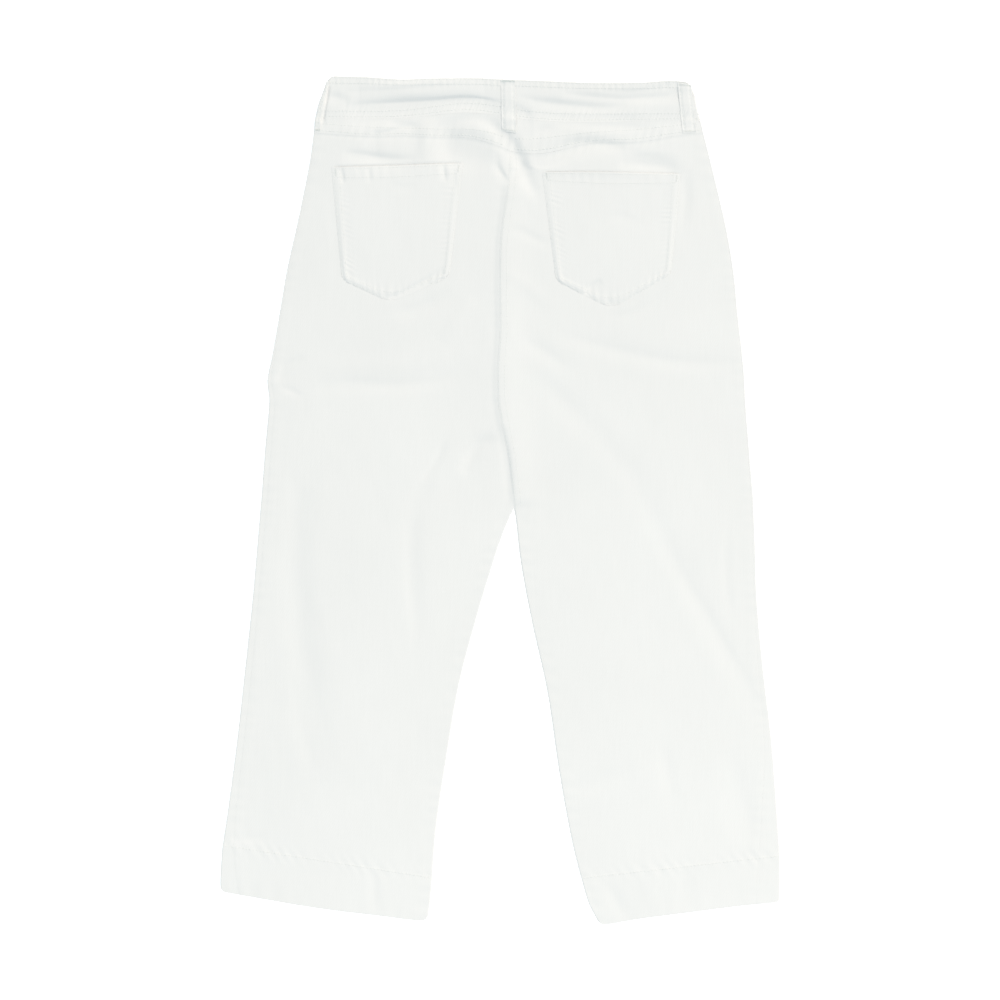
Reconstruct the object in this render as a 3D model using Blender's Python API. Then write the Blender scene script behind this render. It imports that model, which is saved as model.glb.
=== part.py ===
"""White cropped jeans, laid flat with the back uppermost.

The front panels lie on the surface and the back lies on them. Each panel is a wall of cloth between its
outside points and its inside points. All sizes below are millimetres. A place on the garment is an x, to the
right of the middle, and a down, from the top of the waistband towards the hems. The origin is on the surface,
under the middle of the garment: +Y runs to the waist and +Z up.
"""

import math
from collections import namedtuple

import bmesh
import bpy
import numpy as np

MM = 0.001

# Driving sizes
LENGTH = 848.0          # top of the waistband to the lowest corner of a hem
CLOTH = 1.1             # stretch denim, one layer
HEM_CLOTH = 1.9         # the hem is turned up, so it has three layers pressed together
BAND_CLOTH = 1.8        # the waistband is a folded strip
LOOP_CLOTH = 1.2
SEAM_GAP = 0.3
LAP_GAP = 0.4           # between a patch and the panel that it lies on
FRONT_GAP = 0.5         # between the waistband and the fronts, on the underside

# Shape of a laid tube of cloth, seen in section
EDGE_Z = 2.1            # height of the fold line at the side
EDGE_OVER = 3.5         # how far in the upper half of the side takes to level out
EDGE_UNDER = 2.5        # the same for the lower half
SEAT_SHOULDER = 7.0     # how wide the cloth rolls down to the seat seam
SEAT_TURN = 0.75        # cosine of the angle that it has turned there
LEG_CROWN = 0.7         # a leg stands this much higher in its middle
CROWN_FULLNESS = 0.7    # under 1, the crown is broader than a plain arch
SLANT = 22.0            # a section's inner end lies about this much further down than its outer end
FOLD_END = 0.03         # a fold keeps a little height at its very ends

# Columns of points across each layer
NEAR_SIDE_SEAM = (0.0, 1.5, 4.0, 9.0)
NEAR_INSEAM = (9.0, 4.0, 1.8, 0.5, 0.0)
BACK_COLUMNS = 12
UNDER_COLUMNS = 8
UNDER_MARGIN = 8.0      # the underside is level up to this far from the inner edge
INSEAM_STEPS = (0.0, 0.4, 0.75, 1.0)
ROLL_STEPS = (0.0, 0.15, 0.45, 0.8)
TURN_ANGLES = tuple(math.radians(angle) for angle in (30, 60, 90))
SEAM_LEAD = 3.0         # spacing of the underside's last columns where they meet at the crotch seam

# Waistband
BAND_HEIGHT = 6.7
BAND_DEPTH = 45.0
BAND_EDGE_Z = 3.0
BAND_EDGE_OVER = 4.0
CENTRE_X = 9.5          # the centre front and centre back line
HALF_WAIST = 185.0
FRONT_DIP = 17.0        # the front waist is cut lower than the back
DIP_FADE = 190.0        # below the waistband the difference is gone this far down
JOIN_X = 27.0           # end of the overlapping front of the waistband
BAND_COLUMNS = 29
LEFT_OF_JOIN = (0, 5, 10, 15, 20, 25, 30, 36, 44, 66, 88, 110, 132, 154, 176)
RIGHT_OF_JOIN = (140, 118, 96, 74, 52, 30, 20, 12, 6, SEAM_GAP)

# Button
BUTTON_RADIUS = 8.5
BUTTON_THICK = 1.4
BUTTON_DOWN = 40.0
LIFT_FLAT = 13.5        # the waistband is level over the button out to this radius
LIFT_END = 27.0
LIFT = BUTTON_THICK + SEAM_GAP

# A row for each section across both legs, from the waistband to the hems. Outer and inner places are given
# as x and down. seam is how far in from the outer edge the side seam lies, height is the top of the cloth,
# turn is 0 where the inner edge is the seat seam and 1 where it is a rounded inseam, bow is how much the
# section bends down in its middle, and rows is how many strips of faces run from here to the next section.
Section = namedtuple("Section", "name left_x left_down left_in_x left_in_down right_in_x right_in_down "
                     "right_x right_down left_seam right_seam height wall turn left_bow rows")
SECTIONS = [
    Section("band edge", -184.5, 43, 9.0, 44, 9.0, 44, 200.8, 45, 2, 2, 5.8, CLOTH, 0, 0, 2),
    Section("yoke seam", -186, 57, 9.5, 71.5, 9.5, 71.5, 203.5, 57, 2, 2, 5.4, CLOTH, 0, 0, 1),
    Section("pocket top", -190.5, 89, 8.5, 105, 8.5, 105, 211.5, 89, 2, 2, 4.9, CLOTH, 0, 0, 3),
    Section("mid pocket", -202, 146, 0.7, 162, 0.7, 162, 225.5, 146, 2, 2, 4.7, CLOTH, 0, 0, 2),
    Section("hip", -212.5, 193, -0.5, 210, -0.5, 210, 233.8, 193, 2, 2, 4.6, CLOTH, 0, 0, 2),
    Section("pocket point", -220.2, 238, 0, 255, 0, 255, 238, 238, 2, 2, 4.5, CLOTH, 0, 0, 2),
    Section("seat", -227.2, 278, -2.5, 295, -2.5, 295, 242.3, 278, 2.5, 2, 4.5, CLOTH, 0, 0, 1),
    Section("side bump", -232.3, 304, -2, 322, -2, 322, 244.5, 304, 4, 2, 4.5, CLOTH, 0, 0, 1),
    Section("under bump", -230.5, 326, 1.5, 345, 1.5, 345, 245.5, 326, 5.5, 2, 4.5, CLOTH, 0, 0, 2),
    Section("rise", -233.8, 364, 8.5, 383, 8.5, 383, 248.5, 364, 6, 2, 4.5, CLOTH, 0, 0, 2),
    Section("above crotch", -237.2, 407, 14.1, 427, 14.1, 427, 252.1, 407, 6, 2.5, 4.5, CLOTH, 0, 0, 1),
    Section("crotch", -237.5, 413, 13.8, 433.5, 14.8, 433.5, 252.5, 413, 6, 2.5, 4.5, CLOTH, 0.25, 0, 1),
    Section("below crotch", -238.5, 424, 8.5, 445, 16.5, 445, 253.5, 424, 6, 2.5, 4.4, CLOTH, 0.8, 0, 2),
    Section("thigh", -242, 465, -8, 488, 21.5, 488, 255.2, 465, 6, 3, 4.3, CLOTH, 1, 0, 2),
    Section("mid thigh", -247.2, 524, -25.2, 550, 32.8, 548, 256.8, 524, 6, 3, 4.2, CLOTH, 1, 0, 3),
    Section("knee", -254.5, 592, -44, 620, 48, 617, 262.5, 592, 7, 5, 4.2, CLOTH, 1, 0, 3),
    Section("calf", -263, 668, -55.8, 697, 59.2, 693, 271.8, 668, 7, 8, 4.2, CLOTH, 1, 0, 3),
    Section("lower leg", -271.5, 732, -64.5, 762, 70.7, 757, 276.5, 734, 8, 15, 4.3, CLOTH, 1, 0, 2),
    Section("hem seam", -276.8, 768, -67.7, 800, 80.8, 800, 279.0, 778, 11, 21, 4.5, CLOTH, 1, 0, 1),
    Section("hem turn", -277.4, 771, -68.0, 803, 81.9, 803, 279.1, 781, 11, 22, 4.6, HEM_CLOTH, 1, 0, 1),
    Section("hem mid", -279.4, 804, -70.5, 829, 89.0, 827, 279.4, 808, 17, 23, 4.6, HEM_CLOTH, 1, 2, 1),
    Section("hem edge", -278.5, 814.5, -72.5, 843.5, 100.5, LENGTH, 279.0, 825, 19, 23, 4.6, HEM_CLOTH, 1, 3.3, 0),
]
YOKE_SEAM = 1           # the sections that the back yokes end at and the back legs start at

# A row for each section across the waistband: the outer edges of its two sides.
BandRow = namedtuple("BandRow", "name left_x left_down right_x right_down")
BAND_ROWS = [
    BandRow("top edge", -171.0, 0, 189.5, 7),
    BandRow("upper", -175.7, 14.3, 195.8, 19.7),
    BandRow("middle", -181.0, 28.7, 197.8, 32.3),
    BandRow("lower edge", -184.5, 43, 200.8, 45),
]
BAND_STRIPS = 8

# A row for each large fold: where it lies, its route as x and down, its half width and its height, which is
# negative in a trough.
Fold = namedtuple("Fold", "name on half height route")
FOLDS = [
    Fold("seat seam valley", "panel", 12, -0.5, [(9, 90), (1, 165), (-1, 225), (-3, 292), (4, 360), (14, 430)]),
    Fold("left hip cross", "panel", 10, -0.8, [(-181, 309), (-95, 307), (-36, 297)]),
    Fold("left hip cross ridge", "panel", 10, 0.5, [(-185, 290), (-95, 289), (-44, 280)]),
    Fold("left leg long", "panel", 12, -1.0, [(-163, 368), (-201, 407), (-206, 484), (-200, 560), (-181, 669)]),
    Fold("left leg long ridge", "panel", 13, 0.5, [(-175, 420), (-182, 490), (-172, 570), (-155, 650)]),
    Fold("left inner leg", "panel", 10, -0.7, [(-56, 368), (-76, 402), (-89, 450), (-86, 515), (-80, 552)]),
    Fold("left crotch", "panel", 9, -0.7, [(-4, 364), (-20, 369), (-34, 388)]),
    Fold("left hem corner", "panel", 9, -0.5, [(-262, 760), (-240, 748), (-226, 734)]),
    Fold("left pocket foot", "panel", 9, -0.5, [(-106, 236), (-84, 233), (-62, 221)]),
    Fold("right seat upper", "panel", 9, -0.7, [(26, 261), (48, 276), (70, 292)]),
    Fold("right hip cross", "panel", 9, -0.8, [(60, 259), (110, 272), (174, 285), (240, 287)]),
    Fold("right diagonal", "panel", 12, -1.0, [(30, 298), (80, 339), (134, 400), (168, 469), (215, 554), (262, 640)]),
    Fold("right diagonal ridge", "panel", 14, 0.5, [(60, 345), (112, 405), (148, 475), (190, 560), (225, 625)]),
    Fold("right lower side", "panel", 15, -0.5, [(236, 684), (243, 730), (246, 770)]),
    Fold("right knee", "panel", 9, -0.5, [(66, 716), (95, 708), (126, 694)]),
    Fold("left yoke", "panel", 7, -0.8, [(-154, 79), (-100, 83), (-80, 84)]),
    Fold("right yoke upper", "panel", 7, -1.0, [(56, 72), (92, 64), (132, 69)]),
    Fold("right yoke lower", "panel", 7, -1.0, [(128, 80), (152, 82), (178, 89)]),
    Fold("centre drag", "panel", 8, -0.8, [(14, 70), (22, 78), (27, 95), (34, 113)]),
    Fold("left band crease", "band", 5, -1.1, [(-142, 25), (-94, 24), (-45, 21), (-6, 24)]),
    Fold("left band roll", "band", 5, 0.4, [(-130, 15), (-80, 14), (-30, 12)]),
    Fold("right band crease", "band", 5, -1.0, [(36, 27), (60, 29), (95, 32), (130, 30)]),
    Fold("right band upper", "band", 5, -0.7, [(68, 19), (122, 23), (168, 21), (190, 20)]),
]

# A row for each back pocket: its corners as x and down, and the point at its foot.
Pocket = namedtuple("Pocket", "name left_top right_top left_corner point right_corner")
POCKETS = [
    Pocket("pocket_left", (-168, 91.5), (-36.5, 87.5), (-157.5, 204), (-108, 227), (-50, 201)),
    Pocket("pocket_right", (42.5, 94.7), (181.5, 98), (56.5, 205), (112.5, 233), (171.5, 199)),
]
POCKET_COLUMNS = 5      # on each side of the point
POCKET_ROWS = (0.0, 0.06, 0.12, 0.26, 0.4, 0.54, 0.68, 0.84, 1.0)

# A row for each belt loop: its two long sides, as distances in from the left edge of the waistband.
Loop = namedtuple("Loop", "name top_from top_to foot_from foot_to head_down foot_down")
LOOPS = [
    Loop("loop_left", 0.4, 7.5, 0.4, 8.0, 6, 56),
    Loop("loop_centre", 173.5, 188.0, 186.5, 201.5, 4, 58),
    Loop("loop_right", 352.0, 365.0, 369.0, 382.0, 9, 57),
]
LOOP_COLUMNS = 5
LOOP_ROWS = 6
LOOP_OVER_EDGE = 1.2    # the loop leaves the waistband this far past its lower edge
LOOP_LANDS = 5.5        # and reaches the yoke this far past it

COLOURS = {
    "denim": ((0.86, 0.88, 0.85), 0.85, 0.0),
    "button metal": ((0.72, 0.72, 0.70), 0.35, 1.0),
}


def place(x, down, z):
    """A point in metres from a place on the garment and a height."""
    return (x * MM, (LENGTH / 2 - down) * MM, z * MM)


def material(name):
    """The Principled material of that name, made on first use."""
    found = bpy.data.materials.get(name)
    if found:
        return found
    colour, roughness, metallic = COLOURS[name]
    made = bpy.data.materials.new(name)
    made.use_nodes = True
    shader = made.node_tree.nodes["Principled BSDF"]
    shader.inputs["Base Color"].default_value = (*colour, 1.0)
    shader.inputs["Roughness"].default_value = roughness
    shader.inputs["Metallic"].default_value = metallic
    return made


def add_object(name, points, faces, finish="denim"):
    """A closed mesh object with its faces pointing out."""
    mesh = bpy.data.meshes.new(name)
    mesh.from_pydata(points, [], faces)
    shell = bmesh.new()
    shell.from_mesh(mesh)
    bmesh.ops.recalc_face_normals(shell, faces=shell.faces)
    shell.to_mesh(mesh)
    shell.free()
    mesh.materials.append(material(finish))
    mesh.shade_smooth()
    mesh.set_sharp_from_angle(angle=math.radians(40))
    piece = bpy.data.objects.new(name, mesh)
    bpy.context.scene.collection.objects.link(piece)
    return piece


def wall(name, outer, inner):
    """A wall of cloth between a grid of outside points and a grid of inside points."""
    rows = len(outer)
    columns = len(outer[0])
    count = rows * columns
    points = [point for row in outer for point in row] + [point for row in inner for point in row]
    faces = []
    for row in range(rows - 1):
        for column in range(columns - 1):
            corner = row * columns + column
            quad = (corner, corner + 1, corner + columns + 1, corner + columns)
            faces.append(quad)
            faces.append(tuple(count + index for index in reversed(quad)))
    rim = list(range(columns))
    rim += [row * columns + columns - 1 for row in range(1, rows)]
    rim += [(rows - 1) * columns + column for column in range(columns - 2, -1, -1)]
    rim += [row * columns for row in range(rows - 2, 0, -1)]
    for here, there in zip(rim, rim[1:] + rim[:1]):
        faces.append((there, here, here + count, there + count))
    return add_object(name, points, faces)


def ease(value):
    """A smooth step from 0 to 1."""
    value = min(1.0, max(0.0, value))
    return value * value * (3 - 2 * value)


def fold_height(fold, x, down):
    """How much one fold raises or lowers the cloth at a place."""
    route = fold.route
    spans = [math.dist(start, end) for start, end in zip(route, route[1:])]
    total = sum(spans)
    nearest = 1e9
    along = 0.0
    passed = 0.0
    for start, end, span in zip(route, route[1:], spans):
        step = ((x - start[0]) * (end[0] - start[0]) + (down - start[1]) * (end[1] - start[1])) / span ** 2
        step = min(1.0, max(0.0, step))
        distance = math.hypot(x - start[0] - step * (end[0] - start[0]),
                              down - start[1] - step * (end[1] - start[1]))
        if distance < nearest:
            nearest = distance
            along = (passed + step * span) / total
        passed += span
    taper = math.sin(math.pi * min(1 - FOLD_END, max(FOLD_END, along))) ** 0.5
    return fold.height * taper * math.exp(-(nearest / fold.half) ** 2)


def folds_at(x, down, on):
    """All the folds of the panels or of the waistband at a place."""
    return sum(fold_height(fold, x, down) for fold in FOLDS if fold.on == on)


def column(name):
    """One column of the section table."""
    return [getattr(section, name) for section in SECTIONS]


def cloth_height(x, down):
    """Top of the yokes and legs at a place, in the middle of a panel."""
    side = "left" if x < np.interp(down, column("left_in_down"), column("left_in_x")) + 0.5 else "right"
    outer = np.interp(down - SLANT / 2, column(side + "_down"), column(side + "_x"))
    inner = np.interp(down + SLANT / 2, column(side + "_in_down"), column(side + "_in_x"))
    share = min(1.0, max(0.0, (x - outer) / (inner - outer)))
    crown = LEG_CROWN * math.sin(math.pi * share) ** CROWN_FULLNESS
    return np.interp(down, column("left_in_down"), column("height")) + crown + folds_at(x, down, "panel")


def band_height(x, down):
    """Top of the waistband's upper layer at a place."""
    return BAND_HEIGHT + folds_at(x, down, "band")


def front_dip(x, down):
    """How far below the back the front lies at this place of the underside."""
    aside = min(1.0, abs(x - CENTRE_X) / HALF_WAIST)
    return FRONT_DIP * math.cos(math.pi / 2 * aside) ** 2 * (1 - ease((down - BAND_DEPTH) / DIP_FADE))


def button_lift(x, down):
    """How far the button holds the underside off the surface."""
    distance = math.hypot(x - CENTRE_X, down - BUTTON_DOWN)
    return LIFT * (1 - ease((distance - LIFT_FLAT) / (LIFT_END - LIFT_FLAT)))


def smooth_column(name, at):
    """A column's value between two sections, on a smooth curve through all of them."""
    values = column(name)
    last = len(values) - 1
    index = min(int(at), last - 1)
    part = at - index
    start, end = values[index], values[index + 1]
    leaving = (end - values[max(index - 1, 0)]) / 2
    reaching = (values[min(index + 2, last)] - start) / 2
    blend = part * part * (3 - 2 * part)
    return (start + (end - start) * blend + leaving * part * (1 - part) ** 2
            - reaching * part * part * (1 - part))


class LegRow:
    """One section across a leg, from its outer edge to its inner edge."""

    def __init__(self, side, at, shift=0.0):
        inward = -1 if side == "left" else 1
        self.outer = (smooth_column(side + "_x", at), smooth_column(side + "_down", at) + shift)
        self.inner = (smooth_column(side + "_in_x", at) + inward * SEAM_GAP / 2,
                      smooth_column(side + "_in_down", at) + shift)
        self.width = math.dist(self.outer, self.inner)
        self.seam = smooth_column(side + "_seam", at)
        self.wall = float(np.interp(at, range(len(SECTIONS)), column("wall")))
        self.turn = min(1.0, max(0.0, float(np.interp(at, range(len(SECTIONS)), column("turn")))))
        self.bow = smooth_column("left_bow", at) if side == "left" else 0.0

    def spot(self, t):
        """x and down at t from the outer edge."""
        share = t / self.width
        return (self.outer[0] + share * (self.inner[0] - self.outer[0]),
                self.outer[1] + share * (self.inner[1] - self.outer[1]) + self.bow * 4 * share * (1 - share))

    def upper(self, t):
        """Outside and inside points of the upper layer."""
        top = cloth_height(*self.spot(t))
        shoulder = SEAT_SHOULDER + (EDGE_OVER - SEAT_SHOULDER) * self.turn
        end = SEAT_TURN + (1 - SEAT_TURN) * self.turn
        rolled = max(0.0, 1 - t / EDGE_OVER) - max(0.0, end - (self.width - t) / shoulder)
        level = math.sqrt(max(0.0, 1 - rolled * rolled))
        fold_z = EDGE_Z + SEAM_GAP / 2
        z = fold_z + (top - fold_z) * level
        return self.pair(t, z, t + self.wall * rolled, z - self.wall * level)

    def lower_outer(self, angle):
        """Points of the lower half of the rounded outer edge, at an angle under the fold line."""
        rolled, level = math.cos(angle), math.sin(angle)
        t = EDGE_UNDER * (1 - rolled)
        z = (EDGE_Z + SEAM_GAP / 2) * (1 - level)
        return self.pair(t, z, t + self.wall * rolled, z + self.wall * level, under=True)

    def lower_inner(self, share):
        """Points of the lower half of the inner edge, from level at 0 to the inseam at 1."""
        angle = math.pi / 2 * (1 - self.turn * share)
        rolled, level = math.cos(angle), math.sin(angle)
        full = math.cos(math.pi / 2 * (1 - self.turn))
        back = EDGE_UNDER * (full - rolled) + (1 - self.turn) * SEAM_LEAD * (1 - share)
        z = (EDGE_Z - SEAM_GAP / 2) * (1 - level)
        t = self.width - back
        return self.pair(t, z, t - self.wall * rolled, z + self.wall * level, under=True)

    def under(self, t):
        """Points of the flat underside."""
        return self.pair(t, 0.0, t, self.wall, under=True)

    def pair(self, t, z, inside_t, inside_z, under=False):
        """An outside and an inside point, the underside's moved by the dip and the button."""
        points = []
        for here, height in ((t, z), (inside_t, inside_z)):
            x, down = self.spot(here)
            if under:
                down += front_dip(x, down)
                height += button_lift(x, down)
            points.append(place(x, down, height))
        return points


def mesh_rows(first, last):
    """Where the strips of faces between two sections begin and end."""
    rows = []
    for index in range(first, last):
        steps = SECTIONS[index].rows
        rows += [index + step / steps for step in range(steps)]
    return rows + [float(last)]


def grids(rows):
    """Split rows of outside and inside pairs into two grids."""
    outer = [[pair[0] for pair in row] for row in rows]
    inner = [[pair[1] for pair in row] for row in rows]
    return outer, inner


def back_row(row):
    """The upper layer of one section, from the side seam to the inner edge."""
    near = [row.seam + SEAM_GAP / 2 + step for step in NEAR_SIDE_SEAM]
    far = [row.width - step for step in NEAR_INSEAM]
    between = list(np.linspace(near[-1], far[0], BACK_COLUMNS + 1))[1:-1]
    return [row.upper(t) for t in near + between + far]


def front_row(row):
    """The lower layer of one section, from the side seam round the outer edge to the inner edge."""
    start = row.seam - SEAM_GAP / 2
    turn = min(start, EDGE_OVER)
    points = [row.upper(start)]
    points += [row.upper(turn * share) for share in reversed(ROLL_STEPS)]
    points += [row.lower_outer(angle) for angle in TURN_ANGLES]
    points += [row.under(t) for t in np.linspace(EDGE_UNDER, row.width - UNDER_MARGIN, UNDER_COLUMNS + 1)[1:]]
    points += [row.lower_inner(share) for share in INSEAM_STEPS]
    return points


def make_legs():
    """The yoke, the back and the front of each leg."""
    last = len(SECTIONS) - 1
    for side in ("left", "right"):
        yoke = mesh_rows(0, YOKE_SEAM)
        back = mesh_rows(YOKE_SEAM, last)
        shifts = [SEAM_GAP] + [0.0] * (len(yoke) - 2) + [-SEAM_GAP / 2]
        wall("yoke_" + side, *grids([back_row(LegRow(side, at, shift)) for at, shift in zip(yoke, shifts)]))
        shifts = [SEAM_GAP / 2] + [0.0] * (len(back) - 1)
        wall("back_" + side, *grids([back_row(LegRow(side, at, shift)) for at, shift in zip(back, shifts)]))
        front = mesh_rows(0, last)
        shifts = [FRONT_GAP] + [0.0] * (len(front) - 1)
        wall("front_" + side, *grids([front_row(LegRow(side, at, shift)) for at, shift in zip(front, shifts)]))


class BandSection:
    """One section across the waistband, from its left edge to its right edge."""

    def __init__(self, share):
        at = share * (len(BAND_ROWS) - 1)
        names = ("left_x", "left_down", "right_x", "right_down")
        values = [float(np.interp(at, range(len(BAND_ROWS)), [getattr(row, name) for row in BAND_ROWS]))
                  for name in names]
        self.left = values[:2]
        self.right = values[2:]
        self.width = math.dist(self.left, self.right)

    def spot(self, t):
        """x and down at t from the left edge."""
        share = t / self.width
        return (self.left[0] + share * (self.right[0] - self.left[0]),
                self.left[1] + share * (self.right[1] - self.left[1]))

    def pair(self, t, z, inside_t, inside_z, under=False):
        """An outside and an inside point."""
        points = []
        for here, height in ((t, z), (inside_t, inside_z)):
            x, down = self.spot(here)
            if under:
                down += front_dip(x, down)
                height += button_lift(x, down)
            points.append(place(x, down, height))
        return points

    def upper(self, t):
        """Points of the upper layer."""
        rolled = max(0.0, 1 - t / BAND_EDGE_OVER) - max(0.0, 1 - (self.width - t) / BAND_EDGE_OVER)
        level = math.sqrt(max(0.0, 1 - rolled * rolled))
        z = BAND_EDGE_Z + (band_height(*self.spot(t)) - BAND_EDGE_Z) * level
        return self.pair(t, z, t + BAND_CLOTH * rolled, z - BAND_CLOTH * level)

    def lower(self, angle, right_side):
        """Points of the lower half of a rounded side."""
        rolled, level = math.cos(angle), math.sin(angle)
        t = BAND_EDGE_OVER * (1 - rolled)
        inside = t + BAND_CLOTH * rolled
        z = BAND_EDGE_Z * (1 - level)
        if right_side:
            t, inside = self.width - t, self.width - inside
        return self.pair(t, z, inside, z + BAND_CLOTH * level, under=True)

    def under(self, t):
        """Points of the flat underside."""
        return self.pair(t, 0.0, t, BAND_CLOTH, under=True)


def band_row(section):
    """The whole strip once round, from the lapped end at the centre front back to the join."""
    join = JOIN_X - section.left[0]
    rolls = [BAND_EDGE_OVER * step for step in ROLL_STEPS]
    top = np.linspace(BAND_EDGE_OVER, section.width - BAND_EDGE_OVER, BAND_COLUMNS + 1)
    points = [section.under(join - step) for step in LEFT_OF_JOIN]
    points += [section.lower(angle, False) for angle in reversed(TURN_ANGLES)]
    points += [section.upper(t) for t in rolls]
    points += [section.upper(t) for t in top]
    points += [section.upper(section.width - t) for t in reversed(rolls)]
    points += [section.lower(angle, True) for angle in TURN_ANGLES]
    points += [section.under(join + step) for step in RIGHT_OF_JOIN]
    return points


def make_waistband():
    """One folded strip all round, which closes at the centre front."""
    rows = [band_row(BandSection(strip / BAND_STRIPS)) for strip in range(BAND_STRIPS + 1)]
    wall("waistband", *grids(rows))


def mix(start, end, share):
    """A place between two places."""
    return tuple(a + (b - a) * share for a, b in zip(start, end))


def make_pocket(pocket):
    """A five-sided patch on the seat, made from the panel's surface and moved out."""
    width = math.dist(pocket.left_top, pocket.right_top)
    middle = (pocket.point[0] - pocket.left_top[0]) / width
    shares = [middle * step / POCKET_COLUMNS for step in range(POCKET_COLUMNS)]
    shares += [middle + (1 - middle) * step / POCKET_COLUMNS for step in range(POCKET_COLUMNS + 1)]
    outer, inner = [], []
    for row in POCKET_ROWS:
        over, under = [], []
        for share in shares:
            top = mix(pocket.left_top, pocket.right_top, share)
            if share < middle:
                foot = mix(pocket.left_corner, pocket.point, share / middle)
            else:
                foot = mix(pocket.point, pocket.right_corner, (share - middle) / (1 - middle))
            x, down = mix(top, foot, row)
            z = cloth_height(x, down) + LAP_GAP
            under.append(place(x, down, z))
            over.append(place(x, down, z + CLOTH))
        outer.append(over)
        inner.append(under)
    wall(pocket.name, outer, inner)


def make_loop(loop):
    """A belt loop, from the top of the waistband to the yoke below it."""
    band = [BandSection(strip / BAND_STRIPS) for strip in range(BAND_STRIPS + 1)]
    lower_edge = band[-1]
    across = (loop.foot_from + loop.foot_to) / 2
    edge = lower_edge.spot(across)[1]
    downs = list(np.linspace(loop.head_down, edge + LOOP_OVER_EDGE, LOOP_ROWS))
    downs += [edge + LOOP_LANDS, loop.foot_down]
    outer, inner = [], []
    for down in downs:
        share = (down - loop.head_down) / (loop.foot_down - loop.head_down)
        start = loop.top_from + (loop.foot_from - loop.top_from) * share
        end = loop.top_to + (loop.foot_to - loop.top_to) * share
        middle_down = (down - BAND_ROWS[0].left_down) / (edge - BAND_ROWS[0].left_down)
        section = BandSection(min(1.0, max(0.0, middle_down)))
        settled = ease((down - edge - LOOP_OVER_EDGE) / (LOOP_LANDS - LOOP_OVER_EDGE))
        spread = min(0.0, float(np.interp(down, column("left_down"), column("left_x"))) - lower_edge.left[0])
        over, under = [], []
        for step in range(LOOP_COLUMNS + 1):
            t = start + (end - start) * step / LOOP_COLUMNS
            x = section.spot(t)[0] + spread * (1 - t / section.width)
            crest = BAND_HEIGHT + (SECTIONS[0].height + LEG_CROWN - BAND_HEIGHT) * settled
            rolled = max(0.0, 1 - t / BAND_EDGE_OVER)
            level = math.sqrt(1 - rolled * rolled)
            z = BAND_EDGE_Z + (crest - BAND_EDGE_Z) * level
            for points, away in ((under, LAP_GAP), (over, LAP_GAP + LOOP_CLOTH)):
                points.append(place(x - away * rolled, down, z + away * level))
        outer.append(over)
        inner.append(under)
    wall(loop.name, outer, inner)


def make_button():
    """A round metal button with a rolled rim, face down at the centre front."""
    profile = [(0.0, 0.5), (5.6, 0.5), (6.4, 0.0), (7.8, 0.1), (BUTTON_RADIUS, 0.7),
               (7.9, 1.2), (4.2, BUTTON_THICK), (0.0, BUTTON_THICK)]
    sides = 20
    points, faces = [], []
    for radius, z in profile[1:-1]:
        for side in range(sides):
            angle = 2 * math.pi * side / sides
            points.append(place(CENTRE_X + radius * math.cos(angle), BUTTON_DOWN + radius * math.sin(angle), z))
    rings = len(profile) - 2
    for ring in range(rings - 1):
        for side in range(sides):
            after = (side + 1) % sides
            faces.append((ring * sides + side, ring * sides + after,
                          (ring + 1) * sides + after, (ring + 1) * sides + side))
    faces.append(tuple(range(sides)))
    faces.append(tuple((rings - 1) * sides + side for side in range(sides)))
    add_object("button", points, faces, "button metal")


def main():
    """Clear the scene and make every piece."""
    for old in list(bpy.data.objects):
        bpy.data.objects.remove(old)
    make_legs()
    make_waistband()
    for pocket in POCKETS:
        make_pocket(pocket)
    for loop in LOOPS:
        make_loop(loop)
    make_button()


main()
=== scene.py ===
"""White cropped jeans in stretch denim, laid flat with the back uppermost and seen from straight above.

Every panel is a thin wall of cloth on the form of its solid, with creases, puckered seams and sewn thread.
Sizes are millimetres until the last step. A place on the garment is an x, to the right of the middle, and a
down, from the top of the waistband towards the hems. Photograph pixels are 1 mm, so x is the pixel column
less PHOTO_MIDDLE and down is the pixel row less PHOTO_TOP.
"""

import math
from collections import namedtuple
from functools import lru_cache, partial

import bpy
import numpy as np
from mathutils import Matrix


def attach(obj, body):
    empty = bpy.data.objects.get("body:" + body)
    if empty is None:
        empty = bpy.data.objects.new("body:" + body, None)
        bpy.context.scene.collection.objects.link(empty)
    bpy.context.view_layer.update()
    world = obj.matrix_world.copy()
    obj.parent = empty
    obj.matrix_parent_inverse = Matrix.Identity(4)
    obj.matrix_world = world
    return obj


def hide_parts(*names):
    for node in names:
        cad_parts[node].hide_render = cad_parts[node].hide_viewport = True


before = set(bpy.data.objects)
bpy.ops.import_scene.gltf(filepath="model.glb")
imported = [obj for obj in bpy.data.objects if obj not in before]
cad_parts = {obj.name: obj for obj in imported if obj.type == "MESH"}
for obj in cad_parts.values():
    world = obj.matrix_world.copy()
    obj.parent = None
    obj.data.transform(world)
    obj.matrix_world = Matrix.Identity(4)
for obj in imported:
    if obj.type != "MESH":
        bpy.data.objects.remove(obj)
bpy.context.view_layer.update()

MM = 0.001
PHOTO_MIDDLE = 499.5
PHOTO_TOP = 76.0

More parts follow.
